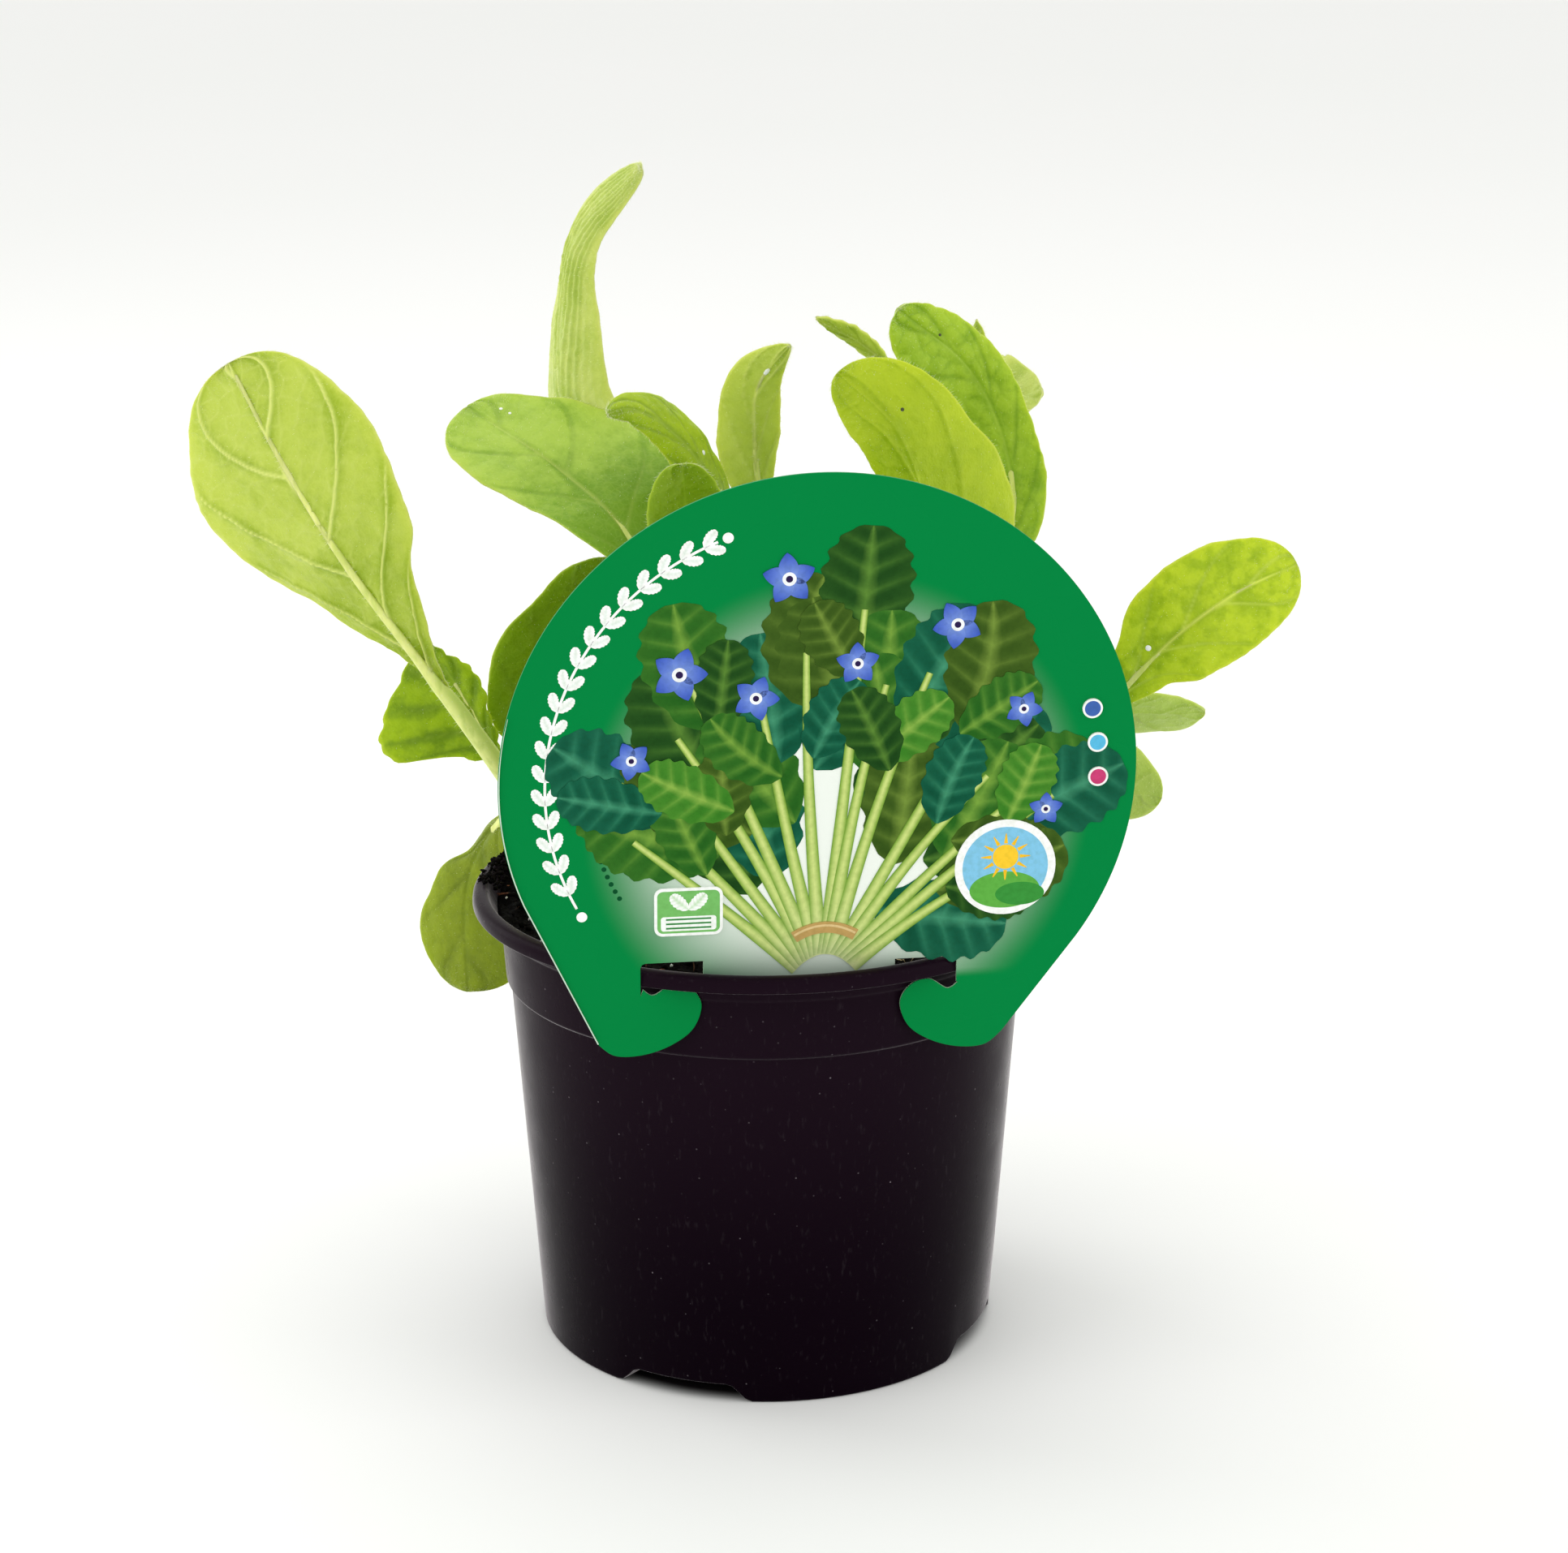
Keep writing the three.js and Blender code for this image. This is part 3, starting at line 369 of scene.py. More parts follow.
SOIL_RADIUS = 48.2
SOIL_EDGE = 80.0
SOIL_CROWN = 0.9
SOIL_FLOOR = 5.0
SOIL_WALL = ((39.8, SOIL_FLOOR), (44.2, 62.2), (45.1, 64), (46.4, 75.6))  # radius and height
SOIL_HEAP = (-40, 22)  # middle of the heap at the back left
HEAP_HEIGHT = 2.4
HEAP_REACH = 17
SOIL_RINGS = 90
SOIL_SIDES = 240
LIP_RADII = (47.4, 48.6, 49.8, 50.4, 51.8)
LIP_HEIGHTS = (81.4, 82, 82.8, 83.1, 82.8)
PEAT_TINTS = {"dark": (1, 1, 1), "brown": (8, 5, 4), "patch": (6, 3, 2)}
# Two tints of each kind of loose bits
BIT_TINTS = {
    "bark": ((38, 18, 12), (146, 92, 70)), "root": ((26, 16, 10), (84, 58, 40)),
    "crumb": ((1, 1, 1), (14, 9, 7)), "perlite": ((214, 208, 198), (240, 238, 232)),
    "straw": ((132, 108, 76), (206, 188, 150)),
}

# Label: millimetres from its disc's centre, hooks from the middle between them, and degrees.
# distance is from the pot's axis, and centre is from the middle of the lip's front, up the card.
LABEL = {
    "radius": 53.3, "thickness": 0.5, "turn": 7.6, "lean": 4.73, "distance": 45.6,
    "centre": (3.2, 33.1), "hook_centre": -3.2, "slot_top": -32.6, "slot_outer": 26.9,
    "slot_inner": 16.3, "tongue": -34.8, "flank_left": 201.8, "flank_right": -34,
    "left_shift": 0.7, "left_rise": 1.3,
}
HOOK_GREEN = 79.5  # height below which the label is plain green
GLOW_CENTRE = (3.0, -6.0)
GLOW_REACH = (18.0, 43.0)
CARD_CHAMFER = (0.07, 0.06)  # along the face and down the edge
CARD_WORN = (95.0, 135.0)  # height from which to which the cut edge turns from worn to green
CARD_TINTS = {"green": (0, 131, 63), "glow": (240, 246, 238), "edge": (44, 146, 92),
              "worn": (150, 200, 160), "bare": (196, 222, 188)}
# Half of a hook's outline: distance from the middle between the hooks, and height
HOOK = [
    (27.3, -37.3), (25.4, -38.5), (22.3, -36.6), (19.2, -37.4), (17.3, -40.6),
    (18.7, -45.0), (22.4, -47.9), (27.2, -49.5), (32.0, -49.4), (35.0, -47.0),
]


# Small sums

def mix(a, b, share):
    """a at share 0, b at share 1."""
    return a + (b - a) * share


def smooth_step(low, high, x):
    """0 below low, 1 above high, and a smooth ramp between."""
    t = np.clip((x - low) / (high - low), 0, 1)
    return t * t * (3 - 2 * t)


def unit(v):
    """v with its last axis scaled to length 1."""
    return v / np.maximum(np.linalg.norm(v, axis=-1, keepdims=True), 1e-12)


def linear(colour):
    """An sRGB colour in bytes as the linear numbers that Blender's shaders take."""
    c = np.asarray(colour, float) / 255
    return np.where(c <= 0.04045, c / 12.92, ((c + 0.055) / 1.055) ** 2.4)


def polar(radius, angle):
    """Places at distances and angles in radians from the middle."""
    return np.stack([radius * np.cos(angle), radius * np.sin(angle)], axis=-1)


def around(radius, angle, height):
    """Points at distances and angles in radians from the Z axis, and at heights."""
    x = radius * np.cos(angle)
    return np.stack([x, radius * np.sin(angle), height + 0 * x], axis=-1)


def spin(a, b, angle):
    """The place a, b turned about the middle by an angle in radians."""
    return a * np.cos(angle) - b * np.sin(angle), a * np.sin(angle) + b * np.cos(angle)


def turns(count):
    """Angles in radians, evenly spaced round a circle from 0 on."""
    return np.linspace(0, 2 * math.pi, count, endpoint=False)


def cubic(p, t):
    """The cubic between the middle two of four points, at the shares t, whose slope at each of
    them is half the way from the point before to the point after."""
    m1 = 0.5 * (p[2] - p[0])
    m2 = 0.5 * (p[3] - p[1])
    return ((2 * t**3 - 3 * t**2 + 1) * p[1] + (t**3 - 2 * t**2 + t) * m1
            + (3 * t**2 - 2 * t**3) * p[2] + (t**3 - t**2) * m2)


def jitter(i, j, salt):
    """A fixed random number from 0 to 1 for each pair of whole numbers."""
    wave = np.sin(i * 127.1 + j * 311.7 + salt * 74.7) * 43758.5453
    return wave - np.floor(wave)


def cells(x, y, salt):
    """Distance to the nearest and to the second nearest of the points scattered one to each
    unit square, and a random number of the nearest one."""
    i0 = np.floor(x)
    j0 = np.floor(y)
    first = np.full(x.shape, 9.0)
    second = np.full(x.shape, 9.0)
    kind = np.zeros(x.shape)
    for di in (-1, 0, 1):
        for dj in (-1, 0, 1):
            i = i0 + di
            j = j0 + dj
            distance = np.hypot(i + jitter(i, j, salt) - x, j + jitter(i, j, salt + 1) - y)
            nearer = distance < first
            second = np.where(nearer, first, np.minimum(second, distance))
            kind = np.where(nearer, jitter(i, j, salt + 2), kind)
            first = np.where(nearer, distance, first)
    return first, second, kind


def waves(x, y, salt):
    """A smooth random height from -1 to 1: five crossed sine waves of unlike length."""
    total = np.zeros(np.broadcast(x, y).shape)
    for k in range(5):
        turn = 2 * math.pi * jitter(k, salt, 3)
        pitch = 1 + 0.7 * k
        slope = math.pi * jitter(k, salt, 5)
        total = total + np.sin(pitch * (x * math.cos(slope) + y * math.sin(slope)) + turn) / pitch
    return total / 2.3


# Meshes

def make_mesh(name, points, faces, smooth=True):
    """A mesh object at the origin from points in millimetres and lists of faces, each list an
    array with three or four corners a row."""
    mesh = bpy.data.meshes.new(name)
    points = np.asarray(points, float).reshape(-1, 3)
    faces = [np.asarray(f, np.int64) for f in faces if len(f)]
    corners = np.concatenate([f.ravel() for f in faces])
    counts = np.concatenate([np.full(len(f), f.shape[1]) for f in faces])
    mesh.vertices.add(len(points))
    mesh.vertices.foreach_set("co", (points * MM).astype(np.float32).ravel())
    mesh.loops.add(len(corners))
    mesh.loops.foreach_set("vertex_index", corners.astype(np.int32))
    mesh.polygons.add(len(counts))
    starts = np.concatenate([[0], np.cumsum(counts)[:-1]])
    mesh.polygons.foreach_set("loop_start", starts.astype(np.int32))
    mesh.polygons.foreach_set("use_smooth", np.full(len(counts), smooth))
    mesh.update(calc_edges=True)
    mesh.validate()
    piece = bpy.data.objects.new(name, mesh)
    bpy.context.scene.collection.objects.link(piece)
    return piece


def give(piece, name, values):
    """A number for each vertex, under a name that the materials read."""
    layer = piece.data.attributes.new(name, "FLOAT", "POINT")
    layer.data.foreach_set("value", np.asarray(values, np.float32).ravel())


def give_colour(piece, name, colours):
    """A linear colour for each vertex, under a name that the materials read."""
    layer = piece.data.attributes.new(name, "FLOAT_COLOR", "POINT")
    rgba = np.ones((len(colours), 4), np.float32)
    rgba[:, :3] = colours
    layer.data.foreach_set("color", rgba.ravel())


def grid_quads(rows, columns, start=0):
    """Faces of a grid of points, turned so that across times along points out."""
    a = (np.arange(rows - 1)[:, None] * columns + np.arange(columns - 1)[None, :]).ravel() + start
    return np.stack([a, a + 1, a + columns + 1, a + columns], axis=1)


def slab_faces(rows, columns, start=0):
    """Faces of a closed slab: an upper grid, the same grid below it, and the wall round them."""
    upper = grid_quads(rows, columns, start)
    size = rows * columns
    lower = grid_quads(rows, columns, start + size)[:, ::-1]
    r = np.arange(rows - 1) * columns + start
    c = np.arange(columns - 1) + start
    last = c + (rows - 1) * columns
    right = r + columns - 1
    walls = [
        np.stack([r, r + columns, r + columns + size, r + size], axis=1),
        np.stack([right, right + size, right + columns + size, right + columns], axis=1),
        np.stack([c, c + size, c + 1 + size, c + 1], axis=1),
        np.stack([last, last + 1, last + 1 + size, last + size], axis=1),
    ]
    return [upper, lower, *walls]


def tube_faces(rings, sides, start=0):
    """Faces of a closed tube or turned body: quads between its rings, and a fan at each end
    point. The points are the rings in order, then the first end point, then the last."""
    k = np.arange(sides)
    after = (k + 1) % sides
    row = (np.arange(rings - 1) * sides)[:, None] + start
    walls = np.stack([row + k, row + after, row + sides + after, row + sides + k], axis=2)
    first_end = start + rings * sides
    last_row = start + (rings - 1) * sides
    first = np.stack([np.full(sides, first_end), start + after, start + k], axis=1)
    last = np.stack([np.full(sides, first_end + 1), last_row + k, last_row + after], axis=1)
    return walls.reshape(-1, 4), first, last


def ring_body(name, rings, first, last):
    """A closed piece of rings of points, with a fan to an end point at each end."""
    points = np.concatenate([rings.reshape(-1, 3), [first, last]])
    return make_mesh(name, points, tube_faces(*rings.shape[:2]))


def tube(name, centre, across, up, x, y, tip):
    """A closed tube whose points lie x across and y up from its centre line. Returns it, and
    its surface as its points and the directions out of it."""
    points = centre[:, None, :] + across[:, None, :] * x[..., None]
    points = points + up[:, None, :] * y[..., None]
    piece = ring_body(name, points, centre[0], tip)
    return piece, {"points": points, "outward": unit(points - centre[:, None, :])}


def dress(piece, slot, node, *materials):
    """Rides the piece on the pot's body, hides the imported node that it stands for, if any, and
    gives it its materials. Its slot is not used."""
    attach(piece, "root")
    if node:
        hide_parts(node)
    for material in materials:
        piece.data.materials.append(material)


# Materials

class Shader:
    """A material with one Principled shader, and short calls for the nodes that feed it."""

    def __init__(self, name):
        self.material = bpy.data.materials.new(name)
        self.material.use_nodes = True
        self.tree = self.material.node_tree
        self.surface = self.tree.nodes["Principled BSDF"]
        self.coordinates = None

    def node(self, kind, **settings):
        made = self.tree.nodes.new(kind)
        for key, value in settings.items():
            setattr(made, key, value)
        return made

    def feed(self, socket, value):
        """Links an output to a socket, or sets the socket's own value."""
        if isinstance(value, bpy.types.NodeSocket):
            self.tree.links.new(value, socket)
        else:
            socket.default_value = value

    def set(self, **values):
        """Sets sockets of the Principled shader: spaces in their names are underscores here."""
        for key, value in values.items():
            self.feed(self.surface.inputs[key.replace("_", " ")], value)

    def place(self, scale=(1, 1, 1)):
        """Object coordinates in metres, times a scale."""
        if self.coordinates is None:
            self.coordinates = self.node("ShaderNodeTexCoord").outputs["Object"]
        mapping = self.node("ShaderNodeMapping")
        self.feed(mapping.inputs["Vector"], self.coordinates)
        mapping.inputs["Scale"].default_value = scale
        return mapping.outputs["Vector"]

    def noise(self, size, detail=3.0, stretch=(1, 1, 1), roughness=0.5):
        """Noise from 0 to 1 with features of a size in millimetres."""
        made = self.node("ShaderNodeTexNoise")
        self.feed(made.inputs["Vector"], self.place(tuple(s / (size * MM) for s in stretch)))
        made.inputs["Scale"].default_value = 1.0
        made.inputs["Detail"].default_value = detail
        made.inputs["Roughness"].default_value = roughness
        return made.outputs["Fac"]

    def cell(self, size, feature="F1"):
        """The distance inside Voronoi cells of a size in millimetres."""
        made = self.node("ShaderNodeTexVoronoi", feature=feature)
        self.feed(made.inputs["Vector"], self.place((1 / (size * MM),) * 3))
        made.inputs["Scale"].default_value = 1.0
        return made.outputs["Distance"]

    def height(self):
        """Height above the floor in metres."""
        made = self.node("ShaderNodeSeparateXYZ")
        self.feed(made.inputs["Vector"], self.place())
        return made.outputs["Z"]

    def attribute(self, name, output="Fac"):
        return self.node("ShaderNodeAttribute", attribute_name=name).outputs[output]

    def ramp(self, value, low, high, out_low=0.0, out_high=1.0):
        """value from low to high, as a smooth step from out_low to out_high."""
        made = self.node("ShaderNodeMapRange", interpolation_type="SMOOTHSTEP")
        self.feed(made.inputs["Value"], value)
        made.inputs["From Min"].default_value = low
        made.inputs["From Max"].default_value = high
        made.inputs["To Min"].default_value = out_low
        made.inputs["To Max"].default_value = out_high
        return made.outputs["Result"]

    def sum(self, operation, a, b):
        made = self.node("ShaderNodeMath", operation=operation)
        self.feed(made.inputs[0], a)
        self.feed(made.inputs[1], b)
        return made.outputs["Value"]

    def blend(self, share, a, b):
        """Colour a at share 0, colour b at share 1. A colour is an sRGB triple or a socket."""
        made = self.node("ShaderNodeMix", data_type="RGBA")
        self.feed(made.inputs["Factor"], share)
        for socket, colour in ((made.inputs[6], a), (made.inputs[7], b)):
            is_socket = isinstance(colour, bpy.types.NodeSocket)
            self.feed(socket, colour if is_socket else (*linear(colour), 1.0))
        return made.outputs[2]

    def bump(self, height, distance, strength=1.0, under=None):
        """A relief whose height of 1 stands distance millimetres high."""
        made = self.node("ShaderNodeBump")
        self.feed(made.inputs["Height"], height)
        made.inputs["Distance"].default_value = distance * MM
        made.inputs["Strength"].default_value = strength
        if under is not None:
            self.feed(made.inputs["Normal"], under)
        return made.outputs["Normal"]


def blade_material(name, tint, mottled):
    """Leaf blade: its plain tint, with shade painted deeper by its midrib, along the hollows of its
    veins and towards its base, deeper in soft patches, paler on the raised net and at the very
    edge, with fine cells and a soft bloom."""
    shader = Shader(name)
    plain, deep, pale = TINTS[tint]
    patches = shader.ramp(shader.noise(9.0, 3.0), 0.36, 0.66)
    mottles = shader.ramp(shader.noise(2.6, 2.0), 0.38, 0.62)
    grain = shader.ramp(shader.noise(0.9, 4.0, roughness=0.65), 0.3, 0.7)
    # Painted shade, deepest beside the veins and midrib and towards the base, with mottles added on
    shade_and_mottle = shader.sum("MULTIPLY", shader.attribute("painted_shade"), 0.75)
    for part, strength in ((patches, 0.28), (mottles, mottled), (grain, 0.12)):
        shade_and_mottle = shader.sum("ADD", shade_and_mottle, shader.sum("MULTIPLY", part, strength))
    colour = shader.blend(shader.ramp(shade_and_mottle, 0.08, 1.0), plain, deep)
    net = shader.ramp(shader.cell(1.15, "DISTANCE_TO_EDGE"), 0.02, 0.16, 0.07, 0.0)
    vein = shader.sum("MAXIMUM", shader.attribute("vein"), net)
    colour = shader.blend(vein, colour, pale)
    colour = shader.blend(shader.attribute("rim"), colour, pale)
    relief = shader.bump(shader.cell(0.42), 0.05)
    relief = shader.bump(shader.noise(1.6, 3.0), 0.16, under=relief)
    shader.set(
        Base_Color=colour,
        Roughness=shader.ramp(shader.noise(2.5, 2.0), 0.3, 0.7, 0.4, 0.58),
        Normal=relief,
        Specular_IOR_Level=0.24,
        Subsurface_Weight=0.45,
        Subsurface_Radius=(0.9, 1.0, 0.35),
        Subsurface_Scale=0.0016,
        Sheen_Weight=0.05,
        Sheen_Roughness=0.4,
    )
    return shader.material


def stalk_material():
    """Stalks and stems: pale along the middle, greener at the sides, streaked lengthwise."""
    shader = Shader("stalk")
    streaks = shader.ramp(shader.noise(1.3, 3.0, stretch=(1, 1, 0.12)), 0.35, 0.7, 0.0, 0.5)
    side = shader.sum("MAXIMUM", shader.attribute("side"), streaks)
    colour = shader.blend(side, STALK_TINT, STALK_SIDE_TINT)
    shader.set(
        Base_Color=colour,
        Roughness=0.42,
        Normal=shader.bump(shader.noise(0.5, 2.0, stretch=(1, 1, 0.3)), 0.05),
        Subsurface_Weight=0.5,
        Subsurface_Radius=(0.9, 1.0, 0.4),
        Subsurface_Scale=0.002,
    )
    return shader.material


def hair_material():
    """Bristles: nearly white, glassy."""
    shader = Shader("hair")
    shader.set(
        Base_Color=shader.blend(shader.noise(6.0), HAIR_TINT, STALK_TINT),
        Roughness=0.3,
        Subsurface_Weight=0.5,
        Subsurface_Radius=(0.3, 0.3, 0.2),
        Subsurface_Scale=0.0005,
    )
    return shader.material


# Leaves

def route(points):
    """A dense smooth curve through points, a cubic between each two of them. Returns its points,
    its directions, its distance along and its length."""
    p = np.asarray(points, float)
    p = np.concatenate([[2 * p[0] - p[1]], p, [2 * p[-1] - p[-2]]])
    t = np.linspace(0, 1, 160, endpoint=False)[None, :, None]
    four = [p[k:len(p) - 3 + k, None, :] for k in range(4)]
    curve = cubic(four, t).reshape(-1, 3)
    curve = np.concatenate([curve, p[-2:-1]])
    steps = np.linalg.norm(np.diff(curve, axis=0), axis=1)
    along = np.concatenate([[0], np.cumsum(steps)])
    return {"points": curve, "slopes": unit(np.gradient(curve, axis=0)), "along": along,
            "length": along[-1]}


def on_route(curve, share, key="points"):
    """The curve's point or slope at a share of its length."""
    at = np.clip(share, 0, 1) * curve["length"]
    found = [np.interp(at, curve["along"], curve[key][:, k]) for k in range(3)]
    return np.stack(found, axis=-1)


def half_width(leaf, s):
    """Half the blade's width: half of width, times s over widest to the power rise, times the
    rest of s over the rest of widest to the power tip."""
    widest = leaf["widest"]
    tip = leaf["tip"]
    rise = tip * widest / (1 - widest)
    s = np.clip(s, 1e-4, 1 - 1e-5)
    return leaf["width"] / 2 * (s / widest) ** rise * ((1 - s) / (1 - widest)) ** tip


def trim(leaf, s, u):
    """How far the edge stands in or out of the plain form: the leaf's left and right factors at
    the shares TRIM_AT, blended smoothly between them."""
    total = np.zeros(s.shape)
    weights = np.zeros(s.shape)
    for at, left, right in zip(TRIM_AT, leaf["left"], leaf["right"]):
        near = np.exp(-((s - at) / TRIM_REACH) ** 2)
        total = total + near * np.where(u > 0, left, right)
        weights = weights + near
    return total / weights


def blade_frame(leaf, s):
    """The midrib's point at s, the direction across the blade and its upper side's normal."""
    share = mix(leaf["base"], 1, s)
    centre = on_route(leaf["curve"], share)
    along = unit(on_route(leaf["curve"], share, "slopes"))
    s = s[..., None]
    face = np.array(leaf["face"]) * (1 - s) + np.array(leaf["face_tip"]) * s
    side = unit(np.cross(along, face))
    return centre, side, unit(np.cross(side, along))


def row_count(leaf):
    """Rows of the plain solid, which set the wave of its edge."""
    return 12 if leaf["width"] > 16 else 8


def vein_relief(leaf, s, u, x, y, salt):
    """Veins at a point x across and y along the blade in millimetres. Side veins lie where
    s, less arch times the share across and loop times its cube, passes whole steps of one over
    veins, the left half's not quite half a step on. The net follows the borders of scattered
    cells. Returns, each from 0 to 1: how near the point is to a side vein, to the net and to
    the broad hollow round a side vein, the dome of its cell, and the swell between side
    veins."""
    across = np.abs(u)
    bent = s - leaf["arch"] * across * (1 - 0.3 * s) - leaf["loop"] * across**3
    half_step = np.where(u > 0, 0.42, 0.0)
    wobble = 0.05 * waves(x * 0.16, y * 0.16, salt)
    phase = leaf["veins"] * (bent + 0.03) + half_step + wobble
    slope_s = np.gradient(phase, axis=0) / np.maximum(np.abs(np.gradient(y, axis=0)), 1e-3)
    slope_u = np.gradient(phase, axis=1) / np.maximum(np.abs(np.gradient(x, axis=1)), 1e-3)
    off = np.abs(phase - np.round(phase)) / np.maximum(np.hypot(slope_s, slope_u), 1e-3)
    real = smooth_step(0.0, 0.1, bent + 0.12) * smooth_step(1.0, 0.9, across)
    scale = math.sqrt(leaf["width"] / 28)
    vein = np.exp(-(off / (mix(0.42, 0.2, across) * scale)) ** 2) * real
    # The band round a side vein in which shade is painted into the blade's tint
    near = np.exp(-(off / (leaf["valley"] * scale)) ** 2) * real
    size = NET_SIZE * scale
    first, second, _ = cells((x + 0.4 * y) / size, (y - 0.3 * x) / size, salt)
    net = np.exp(-((second - first) * size / 0.42) ** 2) * smooth_step(0.98, 0.8, across)
    dome = 1 - np.clip(first * 1.3, 0, 1) ** 2
    swell = np.abs(np.sin(math.pi * phase)) ** 0.7
    return vein, net, near, dome, swell


def plain_half(leaf, s, u):
    """Half the blade's width with its trim and coarse teeth, at least as wide as the stalk."""
    shares = np.linspace(0, 1, 200)
    row_of = np.interp(s, 0.5 * shares + 0.25 * (1 - np.cos(math.pi * shares)), shares)
    comb = np.cos(math.pi * row_count(leaf) * row_of)
    tooth = 1 + leaf["teeth"] * np.abs(u) ** 2 * comb
    half = np.maximum(half_width(leaf, s), 0.1) * tooth * (1 + leaf["skew"] * np.sign(u))
    stalk_width = leaf["stalk"][1] * 0.9 * smooth_step(0.12, 0.0, s)
    return np.maximum(half * trim(leaf, s, u), stalk_width)


def toothed_half(leaf, half, u, y, salt):
    """Half the blade's width with the fine teeth and the faint wave of its edge."""
    across = np.abs(u)
    saw = 1 - np.abs(2 * ((y / FINE_TOOTH + 0.5 * waves(y / 9, 0, salt)) % 1) - 1) ** 1.5
    half = half + leaf["notch"] * across**8 * (saw - 0.5)
    return half + 0.12 * across**6 * waves(y * 0.9, u, salt + 7)


def tint_blade(piece, leaf, s, across, x, rib, vein, net, near):
    """What the material reads at each point of the blade's two sides: vein, how pale it is as a
    rib or vein, painted_shade, how much shade is painted into its tint, and rim, how near to
    the edge."""
    thin_rib = np.exp(-(x / (0.5 * rib)) ** 4) * (smooth_step(1.0, 0.86, s) * leaf["rib"])
    pale = leaf["veining"]
    top_vein = np.maximum(thin_rib, pale * vein * mix(1, 0.5, across))
    under_vein = np.maximum.reduce([thin_rib, pale * vein, 0.26 * pale * net])
    # Shade painted into the tint beside the midrib and veins, in the puckered net and towards the
    # base
    painted_shade = np.maximum(np.exp(-(x / (1.6 * rib)) ** 2), near) * leaf["painted_shade"]
    painted_shade = np.maximum(painted_shade, 0.7 * leaf["pucker"] * net)
    painted_shade = painted_shade + leaf["base_shade"] * smooth_step(0.65, 0.1, s)
    give(piece, "vein", np.concatenate([top_vein.ravel(), under_vein.ravel()]))
    give(piece, "painted_shade", np.concatenate([painted_shade.ravel(), 0.85 * painted_shade.ravel()]))
    give(piece, "rim", np.tile(0.5 * smooth_step(0.965, 1.0, across).ravel(), 2))


def blade(name, leaf, salt):
    """The blade as a closed sheet. A point lies across the midrib by its half width times u,
    and off it by the fold of its halves, the swell between its veins, the wave of its edge and
    the fine relief, which sinks on the upper side and stands out below."""
    length = (1 - leaf["base"]) * leaf["curve"]["length"]
    rows = max(int(1.3 * length / CELL), BLADE_ROWS_LEAST)
    columns = max(2 * int(leaf["width"] / CELL / 2) + 1, BLADE_COLUMNS_LEAST)
    s = np.sin(0.5 * math.pi * np.linspace(0, 1, rows))[:, None] * np.ones((1, columns))
    u = np.linspace(-1, 1, columns)[None, :] * np.ones((rows, 1))
    across = np.abs(u)
    s = np.minimum(s + VEIN_LEAN * across * np.sin(math.pi * s), 1)
    centre, side, normal = blade_frame(leaf, s)
    half = plain_half(leaf, s, u)
    x = half * u
    y = s * length
    half = toothed_half(leaf, half, u, y, salt)

    vein, net, near, dome, swell = vein_relief(leaf, s, u, x, y, salt)
    inward = np.sin(math.pi * np.minimum(across, 0.9))
    fold = mix(leaf["cup"][0], leaf["cup"][1], s)
    out = half * across * np.sin(fold * (0.35 + 0.65 * across))
    out = out + leaf["quilt"] * (swell - 0.5) * inward
    out = out + leaf["pucker"] * (dome - 0.5) * smooth_step(0, 1.5, np.abs(x))
    out = out + leaf["ruffle"] * u * across * np.sin(2 * math.pi * 2.5 * s + u)
    out = out + 0.35 * waves(x * 0.14, y * 0.14, salt + 3) * smooth_step(0, 6, y)
    middle = centre + side * (half * u * np.cos(0.9 * fold * across))[..., None]
    middle = middle + normal * out[..., None]

    thickness = mix(BLADE_THICKNESS, EDGE_THICKNESS, across**4) / 2
    rib = leaf["stalk"][1] * mix(1, 0.25, s)
    on_rib = np.exp(-(x / (0.75 * rib)) ** 2)
    upper = thickness - 0.3 * rib * on_rib - 0.1 * vein - 0.05 * net
    lower = thickness + VEIN_DEPTH * vein + NET_DEPTH * net
    upper_points = middle + normal * upper[..., None]
    lower_points = middle - normal * lower[..., None]
    points = np.concatenate([upper_points.reshape(-1, 3), lower_points.reshape(-1, 3)])
    piece = make_mesh(name, points, slab_faces(rows, columns))
    tint_blade(piece, leaf, s, across, x, rib, vein, net, near)
    surfaces = {"upper": upper_points, "lower": lower_points, "normal": normal, "side": side}
    return piece, surfaces


def carried_frame(slopes, start):
    """Two directions across a curve, carried along it with no twist."""
    across = np.empty_like(slopes)
    held = np.asarray(start, float)
    for k, slope in enumerate(slopes):
        held = held - slope * np.dot(held, slope)
        held = held / np.linalg.norm(held)
        across[k] = held
    return across, np.cross(slopes, across)


